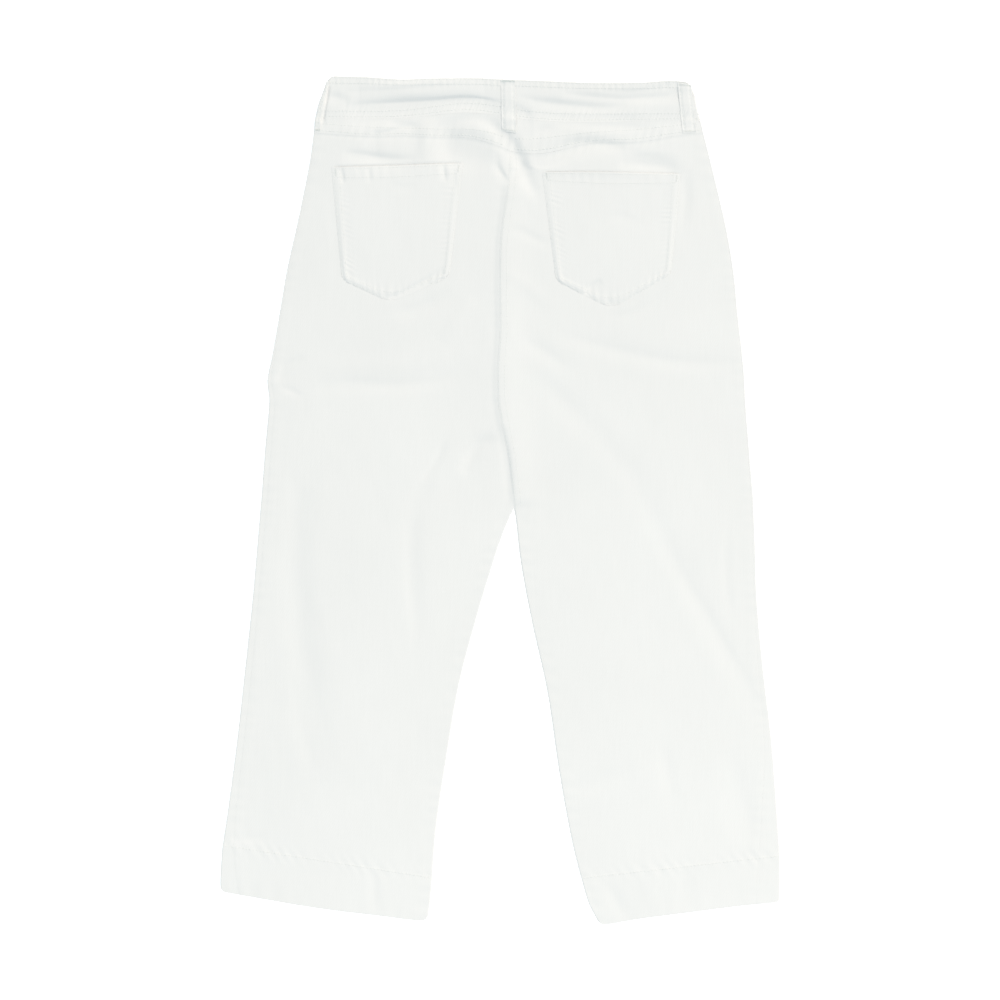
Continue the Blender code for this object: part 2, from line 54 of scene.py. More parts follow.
# Driving sizes, those of the solids but for how the cloth turns at its sides and into the seat seam
LENGTH = 848.0
CLOTH = 1.1
HEM_CLOTH = 1.9
BAND_CLOTH = 1.8
LOOP_CLOTH = 1.2
SEAM_GAP = 0.3
FRONT_GAP = 0.5
EDGE_Z = 2.1
EDGE_OVER = 0.9
EDGE_UNDER = 2.5
SEAT_SHOULDER = 14.0
SEAT_TURN = 0.2
LEG_CROWN = 0.7
CROWN_FULLNESS = 0.7
SLANT = 22.0
BAND_HEIGHT = 6.7
BAND_DEPTH = 45.0
BAND_EDGE_Z = 3.0
BAND_EDGE_OVER = 1.3
CENTRE_X = 9.5
HALF_WAIST = 185.0
FRONT_DIP = 17.0
DIP_FADE = 190.0
JOIN_X = 27.0
BUTTON_THICK = 1.4
BUTTON_DOWN = 40.0
LIFT_FLAT = 13.5
LIFT_END = 27.0
LIFT = BUTTON_THICK + SEAM_GAP

# A row for each section across both legs, on the form of the solids. turn is 1 where the inseam is closed.
Section = namedtuple("Section", "name left_x left_down left_in_x left_in_down right_in_x right_in_down "
                     "right_x right_down left_seam right_seam height wall turn left_bow")
SECTIONS = [Section(*row) for row in (
    ("band edge", -184.5, 43, 9.0, 44, 9.0, 44, 200.8, 45, 2, 2, 5.8, CLOTH, 0, 0),
    ("yoke seam", -186, 57, 9.5, 71.5, 9.5, 71.5, 203.5, 57, 2, 2, 5.4, CLOTH, 0, 0),
    ("pocket top", -190.5, 89, 8.5, 105, 8.5, 105, 211.5, 89, 2, 2, 4.9, CLOTH, 0, 0),
    ("mid pocket", -202, 146, 0.7, 162, 0.7, 162, 225.5, 146, 2, 2, 4.7, CLOTH, 0, 0),
    ("hip", -212.5, 193, -0.5, 210, -0.5, 210, 233.8, 193, 2, 2, 4.6, CLOTH, 0, 0),
    ("pocket point", -220.2, 238, 0, 255, 0, 255, 238, 238, 2, 2, 4.5, CLOTH, 0, 0),
    ("seat", -227.2, 278, -2.5, 295, -2.5, 295, 242.3, 278, 2.5, 2, 4.5, CLOTH, 0, 0),
    ("side bump", -232.3, 304, -2, 322, -2, 322, 244.5, 304, 4, 2, 4.5, CLOTH, 0, 0),
    ("under bump", -230.5, 326, 1.5, 345, 1.5, 345, 245.5, 326, 5.5, 2, 4.5, CLOTH, 0, 0),
    ("rise", -233.8, 364, 8.5, 383, 8.5, 383, 248.5, 364, 6, 2, 4.5, CLOTH, 0, 0),
    ("above crotch", -237.2, 407, 14.1, 427, 14.1, 427, 252.1, 407, 6, 2.5, 4.5, CLOTH, 0, 0),
    ("crotch", -237.5, 413, 13.8, 433.5, 14.8, 433.5, 252.5, 413, 6, 2.5, 4.5, CLOTH, 1, 0),
    ("below crotch", -238.5, 424, 8.5, 445, 16.5, 445, 253.5, 424, 6, 2.5, 4.4, CLOTH, 1, 0),
    ("thigh", -242, 465, -8, 488, 21.5, 488, 255.2, 465, 6, 3, 4.3, CLOTH, 1, 0),
    ("mid thigh", -247.2, 524, -25.2, 550, 32.8, 548, 256.8, 524, 6, 3, 4.2, CLOTH, 1, 0),
    ("knee", -254.5, 592, -44, 620, 48, 617, 262.5, 592, 7, 5, 4.2, CLOTH, 1, 0),
    ("calf", -263, 668, -55.8, 697, 59.2, 693, 271.8, 668, 7, 8, 4.2, CLOTH, 1, 0),
    ("lower leg", -271.5, 732, -64.5, 762, 70.7, 757, 276.5, 734, 8, 15, 4.3, CLOTH, 1, 0),
    ("hem seam", -276.8, 768, -67.7, 800, 80.8, 800, 279.0, 778, 11, 21, 4.5, CLOTH, 1, 0),
    ("hem turn", -277.4, 771, -68.0, 803, 81.9, 803, 279.1, 781, 11, 22, 4.6, HEM_CLOTH, 1, 0),
    ("hem mid", -279.4, 804, -70.5, 829, 89.0, 827, 279.4, 808, 17, 23, 4.6, HEM_CLOTH, 1, 2),
    ("hem edge", -278.5, 814.5, -72.5, 843.5, 100.5, LENGTH, 279.0, 825, 19, 23, 4.6, HEM_CLOTH, 1, 3.3),
)]
YOKE_SEAM = 1
MOUTHS = (1.55, 1.85, 2.15)
CROTCH = 11
HEM_SEAM = 18
HEM_EDGE = 21

BandRow = namedtuple("BandRow", "name left_x left_down right_x right_down")
BAND_ROWS = [
    BandRow("top edge", -171.0, 0, 189.5, 7),
    BandRow("upper", -175.7, 14.3, 195.8, 19.7),
    BandRow("middle", -181.0, 28.7, 197.8, 32.3),
    BandRow("lower edge", -184.5, 43, 200.8, 45),
]

Pocket = namedtuple("Pocket", "name left_top right_top left_corner point right_corner")
POCKETS = [
    Pocket("pocket_left", (-168, 91.5), (-36.5, 87.5), (-157.5, 204), (-108, 227), (-50, 201)),
    Pocket("pocket_right", (42.5, 94.7), (181.5, 98), (56.5, 205), (112.5, 233), (171.5, 199)),
]

Loop = namedtuple("Loop", "name top_from top_to foot_from foot_to head_down foot_down")
LOOPS = [
    Loop("loop_left", 0.4, 3.4, 0.4, 7.0, 6, 56),
    Loop("loop_centre", 173.5, 188.0, 186.5, 201.5, 4, 58),
    Loop("loop_right", 351.5, 365.0, 367.0, 381.0, 9, 57),
]
LOOP_OVER_EDGE = 1.2
LOOP_LANDS = 5.5

# A row for each fold, by the pieces that it is on: how far it reaches to either side in mm, its height,
# negative in a trough, and its route, x and down in turn. The first reach is above a route that runs to the
# right, and to the right of one that runs down. The large folds come first. A fold with two equal reaches has
# straight spans, and one with unequal reaches a smooth curve.
Fold = namedtuple("Fold", "name above below height route")
FOLDS = {
    "panel": (
        ("seat seam rise", 22, 26, 1.1, 11, 76, 6, 130, 3, 165, 0, 225, -1, 292, 5, 360, 14, 430),
        ("left hip cross", 10, 10, -0.55, -181, 309, -95, 307, -36, 297),
        ("left hip cross ridge", 10, 10, 0.3, -185, 290, -95, 289, -44, 280),
        ("left leg long", 12, 12, -1.0, -163, 368, -201, 407, -206, 484, -200, 560, -181, 669),
        ("left leg long ridge", 13, 13, 0.35, -175, 420, -182, 490, -172, 570, -155, 650),
        ("left inner leg", 10, 10, -0.7, -56, 368, -76, 402, -89, 450, -86, 515, -80, 552),
        ("left crotch", 9, 9, -0.7, -4, 364, -20, 369, -34, 388),
        ("left hem corner", 9, 9, -0.5, -262, 760, -240, 748, -226, 734),
        ("left pocket foot", 9, 9, -0.5, -106, 236, -84, 233, -62, 221),
        ("right seat upper", 9, 9, -0.5, 26, 261, 48, 276, 70, 292),
        ("right hip cross", 9, 9, -0.5, 60, 259, 110, 272, 174, 285, 240, 287),
        ("right diagonal", 12, 12, -0.6, 30, 298, 80, 339, 134, 400, 168, 469, 215, 554, 262, 640),
        ("right diagonal ridge", 14, 14, 0.1, 60, 345, 112, 405, 148, 475, 190, 560, 225, 625),
        ("right lower side", 15, 15, -0.5, 236, 684, 243, 730, 246, 770),
        ("right knee", 9, 9, -0.5, 66, 716, 95, 708, 126, 694),
        ("left yoke", 7, 7, -0.8, -154, 79, -100, 83, -80, 84),
        ("right yoke upper", 7, 7, -1.0, 56, 72, 92, 64, 132, 69),
        ("right yoke lower", 7, 7, -1.0, 128, 80, 152, 82, 178, 89),
        ("centre drag", 8, 8, -0.8, 14, 70, 22, 78, 27, 95, 34, 113),
        ("left yoke small crease", 2.5, 5, -0.9, -112, 48, -92, 50, -74, 50.5),
        ("left yoke seam pull", 4, 14, -1.8, -128, 60, -110, 58, -92, 54, -78, 57),
        ("left yoke hollow", 18, 15, -2.8, -58, 48, -54, 64, -44, 76, -26, 81, -6, 79),
        ("left yoke crest", 8, 14, 1.3, -44, 45, -26, 51, -14, 57, -8, 66),
        ("left yoke drag", 8, 13, -0.9, -56, 52, -51, 68, -52, 92),
        ("left yoke second drag", 7, 10, -1.0, -87, 50, -84, 64, -85, 90),
        ("left yoke third drag", 7, 9, -0.9, -128, 50, -127, 64, -125, 86),
        ("left yoke arch", 3, 8, -1.4, -62, 54, -44, 50, -24, 48, -8, 52, 3, 60),
        ("left yoke crease", 4, 12, -1.4, -156, 78, -140, 79, -121, 82, -101, 84, -84, 84),
        ("loop drag", 5, 10, -1.6, -14, 45, -1, 57, 13, 66, 21, 76, 26, 90, 27, 104),
        ("loop drag lip", 5, 5, 0.3, 4, 50, 18, 60, 30, 74, 34, 92),
        ("right yoke arch", 3, 3, -1.02, 36, 60, 41, 54, 55, 52),
        ("right yoke crease", 4.5, 12, -1.65, 34, 79, 46, 73, 63, 67, 76, 64.5, 100, 66.5, 126, 67.5),
        ("right yoke long crease", 3, 6, -0.6, 78, 50, 108, 49, 145, 51.5, 158, 57),
        ("right yoke side crease", 6, 7, -1.6, 120, 89, 138, 89, 154, 90.5, 168, 93, 182, 99),
        ("seat point left", 2.2, 5, -1.2, -3, 74, -1, 90, 8, 106),
        ("seat point right", 4, 4, -0.9, 23, 74, 20, 90, 10, 106),
        ("seat drag", 6, 6, -0.8, 24, 98, 31, 110, 37, 119),
        ("seat drag ridge", 6, 5, 0.15, 16, 100, 30, 122, 46, 148),
        ("seat side crease", 3, 5, -0.55, 7, 151, 24, 156, 42, 165, 54, 166),
        ("seat side ridge", 7, 6, 0.4, 5, 196, 28, 210, 52, 232),
        ("beside left pocket", 6, 4, -0.25, -170, 118, -165, 165, -162, 206),
        ("beside right pocket", 5, 5, -0.91, 186, 100, 186, 125, 182, 150),
        ("under left pocket", 4, 8, -0.5, -108, 237, -88, 234, -68, 225, -50, 212),
        ("under right pocket", 4, 8, -0.6, 106, 241, 130, 238, 152, 226, 170, 206),
        ("left seat ridge", 9, 7, 0.65, -26, 222, -42, 244, -58, 264),
        ("left hip crease", 4, 9, -0.5, -182, 311, -150, 306, -110, 309, -70, 306, -40, 299),
        ("left bump arc", 3, 5, -0.65, -222, 306, -214, 290, -196, 280),
        ("left bump crease", 3, 3, -0.59, -218, 311, -210, 314, -200, 319),
        ("left inner crease", 5, 2.4, -0.91, -55, 366, -64, 384, -78, 403),
        ("left inner second", 7, 5, -0.38, -88, 440, -90, 480, -86, 540, -82, 600),
        ("crotch crease", 6, 5, -1.04, -2, 362, -18, 367, -30, 382, -36, 398),
        ("crotch deep", 3, 5, -1.04, 3, 350, 8, 380, 13, 428),
        ("left shin hollow", 9, 8, -0.52, -204, 600, -198, 650, -184, 700),
        ("left hem hollow", 7, 4, -0.59, -268, 764, -250, 763, -232, 763),
        ("right seat crease", 4, 8, -0.35, 24, 263, 46, 276, 70, 293),
        ("right hip crease", 4, 9, -0.4, 60, 257, 110, 272, 174, 285, 242, 288),
        ("right thigh hollow", 9, 14, -0.35, 32, 296, 64, 325, 96, 360),
        ("right diagonal crease", 4, 9, -0.4, 166, 462, 184, 500, 208, 538, 230, 577, 250, 612, 268, 648),
        ("right side crease", 4, 4, -0.45, 226, 455, 226, 500, 230, 540),
        ("right calf hollow", 8, 8, -0.59, 161, 668, 168, 700, 174, 726),
        ("right calf dome", 60, 60, 0.7, 58, 480, 92, 600, 104, 700, 112, 770),
        ("left thigh dome", 60, 60, 0.65, -110, 400, -130, 520, -150, 640, -160, 720),
        ("right side hollow", 10, 16, -0.65, 232, 672, 238, 720, 256, 768),
        ("left hem fold", 5, 5, -0.52, -126, 792, -125, 810, -126, 836),
        ("right hem corner fold", 7, 7, -0.65, 106, 806, 116, 824, 126, 842),
        ("right hem fold", 10, 10, -0.65, 186, 788, 186, 810, 184, 836),
        ("right hem roll", 9, 9, 0.45, 152, 792, 150, 812, 150, 838),
    ),
    "band": (
        ("left band crease", 5, 5, -0.5, -142, 25, -94, 24, -45, 21, -6, 24),
        ("left band fullness", 16, 17, 1.6, -140, 20, -80, 20, -16, 22),
        ("left band roll", 6, 8, 0.9, -140, 11, -80, 9.5, -20, 8),
        ("right band crease", 5, 5, -1.0, 36, 27, 60, 29, 95, 32, 130, 30),
        ("right band upper", 5, 5, -0.7, 68, 19, 122, 23, 168, 21, 190, 20),
        ("left band crease core", 6, 19, -2.5, -156, 31, -125, 29.2, -88, 28.4, -61, 29.4, -36, 29.5,
         -16, 31.5, 4, 35),
        ("left band crease line", 2.4, 15, -1.3, -150, 30.5, -125, 28.2, -88, 27.4, -61, 28.4, -36, 28.5,
         -16, 30.5, 4, 34),
        ("left band edge rise", 5, 6, 0.85, -64, 44, -36, 44, -8, 46),
        ("left band upper crease", 4, 8, -1.1, -158, 17, -120, 15.5, -80, 12.5, -30, 11),
        ("left band corner", 5, 8, -1.2, -176, 24, -164, 22, -150, 27),
        ("centre band crease", 4, 8, -1.2, 8, 36, 20, 38, 34, 42),
        ("right band crease core", 4.5, 12, -1.3, 16, 22, 34, 26.5, 60, 29, 95, 31.5, 112, 32, 130, 29.5),
        ("right band upper core", 3.5, 11, -1.0, 64, 18, 95, 21.5, 122, 23.5, 150, 22, 168, 21, 178,
         17.5, 194, 21),
        ("right band top crease", 3, 6, -0.7, 100, 15.5, 130, 16, 158, 13.5, 186, 10.5),
        ("right band low crease", 3.5, 6, -0.6, 20, 38, 60, 40, 110, 41, 150, 43),
    ),
    "pocket_left": (
        ("left pocket inner crease", 2.5, 6, -1.1, -112, 223, -98, 217, -78, 207, -56, 193),
        ("left pocket outer fold", 1.8, 3.5, -0.9, -158, 91, -157, 98, -156, 108),
        ("left pocket second fold", 2, 3.5, -0.45, -130, 91, -129.5, 98, -129, 107),
        ("left pocket inner fold", 1.8, 3.5, -0.9, -56, 87, -55, 96, -54, 106),
        ("left pocket corner fold", 2, 3.5, -0.45, -45, 92, -44.5, 102, -45, 114),
        ("left pocket band hollow", 3, 6, -0.25, -108, 110, -94, 111, -82, 110),
    ),
    "pocket_right": (
        ("right pocket corner crease", 2.5, 5, -1.0, 84, 222, 91, 211, 102, 204),
        ("right pocket arch", 4, 7, -0.25, 98, 152, 108, 143, 120, 140, 144, 148),
        ("right pocket inner crease", 3, 6, -0.5, 118, 231, 136, 222, 154, 211, 168, 196),
    ),
}
FOLD_END = 0.03

# Sewing at its real size, in mm: the pitch of a stitch and how much of it shows, and the radius of the thread
STITCH = 3.6
STITCH_SHARE = 0.76
THREAD = 0.2
SEAT_THREAD = 0.15
POCKET_THREAD = 0.16
TACK_SHARE = 0.94
SEAM_STRIP = 9.0
ROW_NEAR = 1.9
ROW_FAR = 7.6

# The solids are 0.3 mm apart at a seam, and the sewn cloth closes up to this
SEWN_GAP = 0.02
SEAM_ROUND = 0.12

# Pockets, loops, hems and waistband, in mm. SUNK is how far the cloth below sinks, so that a patch stands up
# only a little.
POCKET_LIFT = 0.03
POCKET_DEPTH = 125.0
POCKET_BAND = 12.5
POCKET_SUNK = 0.8
MOUTH_SUNK = {"left": 1.1, "right": 0.6}
POCKET_ROUND = 0.15
LOOP_SUNK = 0.6
LOOP_EDGE_DROP = {"loop_left": 0.2, "loop_centre": 1.0, "loop_right": 0.95}
LOOP_ROW = 2.5
LOOP_DENT = 0.35
FLY_WIDTH = 36.0
HEM_ROUND = 0.4
BAND_WIDTH = 372.0
SEAM_LEAD = 3.0
FAR = 1e9

# How many thicknesses of cloth the top of a leg and of the waistband lies up at least
LEG_LAYERS = 2.2
BAND_LAYERS = 2.05

# The picture. The floor is so wide that no edge of it shows.
FLOOR_SIDE = 40.0
FLOOR_Z = -0.0004
FLOOR_GLOW = 0.47
CAMERA_LENS = 85.0
CAMERA_SENSOR = 36.0
FRAME_WIDTH = 1000.0
DOME_COLOUR = "#EDF9FE"
DOME_STRENGTH = 0.795
LAMPS = [
    ("key", (5.3, 7.3, 5.5), 5.2, 730.0, "#FFF0E1"),
    ("hem fill", (0.3, -1.6, 1.5), 1.0, 10.0, "#FFFDF9"),
]
PER_MM = (1000, 1000, 1000)
WAVE_PER_MM = 0.314     # the scale at which the wave texture has a wave for each millimetre

# Finenesses of the grids in mm, and how many places the seam below the waistband is measured at
PANEL_STEP = 2.7
FINE_STEP = 0.8
FINE_REACH = 14.0
POCKET_STEP = 1.35
BAND_STEP = 0.85
BAND_ROW_STEP = 1.2
LOOP_STEP = 0.9
SEAM_SAMPLES = 390

# A row for each place where the cloth is dragged along its own plane: its centre as x and down, how far it
# reaches across and down, and how far down and how far to the right it moves.
Drag = namedtuple("Drag", "name x down across deep shift aside", defaults=[0.0])
DRAGS = [Drag(*row) for row in (
    ("waistband seam pulled up", -30, 36, 50, 15, -9.0),
    ("right waistband seam sunk", 70, 44, 70, 8, 2.0),
    ("left yoke seam pulled up", -32, 66, 44, 13, -7.0),
    ("left yoke seam raised", -96, 62, 26, 10, -3.0),
    ("right yoke sunk", 42, 76, 40, 13, 12.0),
    ("right yoke side sunk", 142, 66, 34, 11, 5.0),
    ("top edge sunk at the left", -99, 0, 24, 12, 1.9),
    ("top edge raised at the middle", -24, 3, 22, 12, -0.9),
    ("top edge sunk at the right", 92, 5, 50, 12, 1.5),
    ("top edge raised", 172, 6, 20, 10, -2.2),
    ("left hem outer corner", -272, 816, 26, 20, 0.9),
    ("left hem inner corner", -80, 843, 30, 22, 1.7),
    ("right hem inner corner", 108, 846, 20, 20, 1.4),
    ("right hem outer corner", 274, 826, 24, 20, 0.9),
    ("left inseam let out above", -10, 495, 16, 40, 0.0, 1.4),
    ("left inseam let out", -48, 635, 16, 70, 0.0, 1.6),
    ("left inseam let out at the hem", -70, 812, 16, 50, 0.0, 1.1),
    ("left hem let down", -175, 832, 90, 20, 0.8),
    ("right side let out at the waist", 205, 80, 22, 100, 0.0, 1.0),
    ("right side let out", 243, 330, 22, 150, 0.0, 1.0),
    ("right side let out at the knee", 262, 590, 22, 110, 0.0, 1.4),
    ("right side let out at the hem", 278, 790, 22, 90, 0.0, 1.6),
)]

# A row for each corner that is rounded: the corner as x and down, a place on each of the two edges that meet
# there, and the radius
Corner = namedtuple("Corner", "name at one_edge other_edge radius")
CORNERS = [
    Corner("left hem outer", (-278.5, 814.5), (-72.5, 843.5), (-279.4, 804), 3.5),
    Corner("left hem inner", (-72.5, 843.5), (-278.5, 814.5), (-70.5, 829), 6.5),
    Corner("right hem inner", (100.5, 848), (279, 825), (89, 827), 5.0),
    Corner("right hem outer", (279, 825), (100.5, 848), (279.4, 808), 4.0),
    Corner("waist left", (-171, 0), (189.5, 7), (-175.7, 14.3), 7.0),
    Corner("waist right", (189.5, 7), (-171, 0), (195.8, 19.7), 6.0),
]

# Where the outermost points of an edge lie, as shares of half the cloth's thickness and of its turn to a seam
RIM_STEPS = np.array([0, 0.08, 0.3, 0.65])
SEAM_STEPS = np.array([0, 0.25, 0.5, 0.7, 0.85, 0.95, 0.99, 1.0])

INWARD = {"left": -1.0, "right": 1.0}
Row = namedtuple("Row", "outer_x outer_down inner_x inner_down width seam wall turn bow")


def ease(value):
    """A smooth step from 0 to 1."""
    value = np.clip(value, 0.0, 1.0)
    return value * value * (3 - 2 * value)


def mix(start, end, share):
    """A value at a share of the way between two."""
    return start + (end - start) * share


def between(before, start, end, after, part):
    """A value between two others, on a smooth curve through them and their neighbours."""
    return (mix(start, end, ease(part)) + (end - before) / 2 * part * (1 - part) ** 2
            - (after - start) / 2 * part * part * (1 - part))


def hump(distance, reach):
    """1 at no distance, and nothing a few reaches away."""
    return np.exp(-(distance / reach) ** 2)


def strip(distance, start, end, soft):
    """1 between two distances, with soft edges."""
    return ease((distance - start) / soft + 0.5) * ease((end - distance) / soft + 0.5)


def pleats(along, pitch, phase):
    """Uneven small waves along a seam, between -1 and 1."""
    drift = 1.3 * np.sin(2 * math.pi * along / (5.3 * pitch) + phase)
    strength = 0.65 + 0.35 * np.sin(2 * math.pi * along / (7.7 * pitch) + 2.1 * phase)
    return strength * np.sin(2 * math.pi * along / pitch + drift + phase)


def undulation(x, down, seed, height, length):
    """Slow uneven waves over a surface."""
    draw = np.random.default_rng(seed)
    total = np.zeros(np.shape(x))
    for _ in range(9):
        heading = draw.uniform(0, 2 * math.pi)
        wave = length * draw.uniform(0.6, 1.6)
        phase = draw.uniform(0, 2 * math.pi)
        total += np.sin(2 * math.pi * (x * math.cos(heading) + down * math.sin(heading)) / wave + phase)
    return height * total / 3


def smooth_route(points, parts=6):
    """A route with more points, on a smooth curve through its own."""
    padded = np.vstack([2 * points[0] - points[1], points, 2 * points[-1] - points[-2]])
    smooth = [points[0]]
    for index in range(1, len(padded) - 2):
        before, start, end, after = padded[index - 1:index + 3]
        for step in range(1, parts + 1):
            smooth.append(between(before, start, end, after, step / parts))
    return np.array(smooth)


def off_route(route, x, down):
    """How far places are from a route, at what share of it they lie, and how far to one side of it."""
    nearest = np.full(np.shape(x), FAR)
    along = np.zeros(np.shape(x))
    aside = np.zeros(np.shape(x))
    passed = 0.0
    for start, end in zip(route, route[1:]):
        span = math.dist(start, end)
        ahead_x, ahead_y = (end - start) / span
        step = np.clip((x - start[0]) * ahead_x + (down - start[1]) * ahead_y, 0, span)
        distance = np.hypot(x - start[0] - step * ahead_x, down - start[1] - step * ahead_y)
        closer = distance < nearest
        nearest = np.where(closer, distance, nearest)
        along = np.where(closer, passed + step, along)
        aside = np.where(closer, ahead_x * (down - start[1]) - ahead_y * (x - start[0]), aside)
        passed += span
    return nearest, along / passed, aside


def fold_height(fold, x, down):
    """How much one fold raises or lowers the cloth."""
    even = fold.above == fold.below
    route = fold.route if even else smooth_route(fold.route)
    margin = 3 * max(fold.above, fold.below)
    low, high = route.min(axis=0) - margin, route.max(axis=0) + margin
    near = (x > low[0]) & (x < high[0]) & (down > low[1]) & (down < high[1])
    raised = np.zeros(np.shape(x))
    if near.any():
        nearest, share, aside = off_route(route, x[near], down[near])
        end, power = (FOLD_END, 0.5) if even else (0, 0.7)
        taper = np.sin(math.pi * np.clip(share, end, 1 - end)) ** power
        raised[near] = fold.height * taper * hump(nearest, np.where(aside < 0, fold.above, fold.below))
    return raised


def folds_at(x, down, on):
    """All the folds of the panels, the waistband or a pocket."""
    x, down = np.broadcast_arrays(np.asarray(x, float), np.asarray(down, float))
    total = np.zeros(x.shape)
    for row in FOLDS[on]:
        total += fold_height(Fold(*row[:4], np.reshape(row[4:], (-1, 2)).astype(float)), x, down)
    return total


def column(name):
    """One column of the section table."""
    return np.array([getattr(section, name) for section in SECTIONS], float)


def smooth_column(name, at):
    """A column's value between two sections, on a smooth curve through all of them."""
    values = column(name)
    last = len(values) - 1
    index = np.minimum(np.asarray(at).astype(int), last - 1)
    return between(values[np.maximum(index - 1, 0)], values[index], values[index + 1],
                   values[np.minimum(index + 2, last)], at - index)


def rested(top, lowest, soft=0.35):
    """The height of the back, which can sink no lower than on the cloth below it."""
    return lowest + soft * np.logaddexp(0, (top - lowest) / soft)


def leg_row(side, at):
    """The two ends of sections across a leg, and how the cloth turns there."""
    outer_x = smooth_column(side + "_x", at)
    outer_down = smooth_column(side + "_down", at)
    inner_x = smooth_column(side + "_in_x", at) + INWARD[side] * SEWN_GAP / 2
    inner_down = smooth_column(side + "_in_down", at)
    numbers = np.arange(len(SECTIONS))
    bow = smooth_column("left_bow", at) if side == "left" else np.zeros(np.shape(at))
    return Row(outer_x, outer_down, inner_x, inner_down,
               np.hypot(inner_x - outer_x, inner_down - outer_down),
               smooth_column(side + "_seam", at), np.interp(at, numbers, column("wall")),
               np.clip(np.interp(at, numbers, column("turn")), 0, 1), bow)


def on_row(row, t):
    """x and down on sections, at t from their outer ends."""
    share = t / row.width
    bowed = row.bow * 4 * share * (1 - share)
    return mix(row.outer_x, row.inner_x, share), mix(row.outer_down, row.inner_down, share) + bowed


def line_down(side, number, x):
    """How far down one section of the table lies at x."""
    section = SECTIONS[number]
    start_x, start = getattr(section, side + "_x"), getattr(section, side + "_down")
    end_x, end = getattr(section, side + "_in_x"), getattr(section, side + "_in_down")
    return start + (end - start) * (x - start_x) / (end_x - start_x)


def pocket_corners(side):
    """The corners of a pocket, down its left side, round its foot and up its right side."""
    _, left_top, right_top, left_corner, point, right_corner = POCKETS[0] if side == "left" else POCKETS[1]
    return np.array([left_top, left_corner, point, right_corner, right_top])


def pocket_pull(side, x, down):
    """The seat sinks a little along the edges of its pocket."""
    nearest = off_route(pocket_corners(side), x, down)[0]
    return -0.04 * hump(nearest, 4.5) + 0.1 * hump(nearest, 7) * pleats(x + 1.7 * down, 8.5, 1.0)


def pocket_bed(side, x, down):
    """How far the seat sinks below its pocket."""
    corners = pocket_corners(side)
    inward = np.full(np.shape(x), FAR)
    for start, end in zip(corners, corners[1:]):
        ahead = (end - start) / math.dist(start, end)
        inward = np.minimum(inward, ahead[1] * (x - start[0]) - ahead[0] * (down - start[1]))
    mouth = down - np.interp(x, corners[[0, -1], 0], corners[[0, -1], 1])
    edge = MOUTH_SUNK[side]
    below = np.where(mouth > 0, edge + (1 - edge) * ease(mouth / 7), edge * ease(1 + mouth / 2.6))
    return -POCKET_SUNK * ease((inward - 0.5) / 6.5) * below


def loop_bed(x, down):
    """How far the cloth sinks below a belt loop."""
    sunk = np.zeros(np.broadcast(x, down).shape)
    foot_x = BAND_ROWS[-1].left_x
    for loop in LOOPS[1:]:
        v = (down - loop.head_down) / (loop.foot_down - loop.head_down)
        head_x = band_ends(loop.head_down / BAND_DEPTH)[0]
        start = mix(head_x + loop.top_from, foot_x + loop.foot_from, v)
        end = mix(head_x + loop.top_to, foot_x + loop.foot_to, v)
        along = ease((down - loop.head_down + 1) / 3) * ease((loop.foot_down - down) / 6)
        sunk -= LOOP_SUNK * ease((np.minimum(x - start, end - x) - 0.3) / 2.4) * along
    return sunk


@lru_cache(maxsize=None)
def seam_step(side):
    """Places along the lower edge of the waistband, and how far a yoke lies below it there."""
    low = BAND_ROWS[-1]
    x, down = np.linspace((low.left_x, low.left_down), (low.right_x, low.right_down), SEAM_SAMPLES).T
    lowest = BAND_LAYERS * BAND_CLOTH + button_lift(x, down + front_dip(x, down))
    band = rested(BAND_HEIGHT + band_relief(x, down, 1.0), lowest)
    return x, down, band - cloth_height(side, x, down) - seat_relief(side, x, down)


def seam_meeting(side, x, down):
    """How far a yoke comes up or down so that it meets the lower edge of the waistband."""
    along, edge, apart = seam_step(side)
    return np.interp(x, along, apart) * hump(np.maximum(0, down - np.interp(x, along, edge)), 8)


def panel_relief(side, x, down):
    """The relief of the back of a leg, whose yoke meets the waistband."""
    return seat_relief(side, x, down) + seam_meeting(side, x, down)


def seat_relief(side, x, down):
    """Folds, waves and seams on the back of a leg, away from its sides."""
    from_yoke = down - line_down(side, YOKE_SEAM, x)
    from_hem = down - line_down(side, HEM_SEAM, x)
    past_seat = x - np.interp(down, column("left_in_down"), column("left_in_x"))
    from_seat = np.abs(past_seat)
    on_seat = ease((SECTIONS[CROTCH].left_in_down - down) / 12)
    relief = folds_at(x, down, "panel")
    relief += undulation(x, down, 7, 0.17, 95) + undulation(x, down, 8, 0.035, 27)
    relief += 0.2 * strip(from_yoke, -SEAM_STRIP, 0.6, 2.0) - 0.16 * hump(from_yoke - 1.5, 2.2)
    relief += 0.26 * hump(from_yoke + 4, 8) * pleats(x + 0.4 * from_yoke, 9.5, 0.4)
    relief += 0.24 * ease(from_hem / 2.2) * (0.55 + 0.45 * np.sin(x / 19 + 1.1) * np.sin(x / 41))
    relief += 0.2 * hump(from_hem - 1, 8) * pleats(x - 0.7 * from_hem, 12.5, 1.9)
    relief += 0.1 * ease((from_hem - 25) / 20) * pleats(x, 17, 0.3)
    felled = ease((past_seat + 6) / 9) * hump(np.maximum(0, past_seat - 3), 20)
    relief += 1.35 * felled * on_seat * ease((down - 92) / 30)
    relief += 0.07 * hump(from_seat - 4, 7) * pleats(down, 12.5, 2.6) * on_seat
    return relief + pocket_pull(side, x, down) + pocket_bed(side, x, down) + loop_bed(x, down)


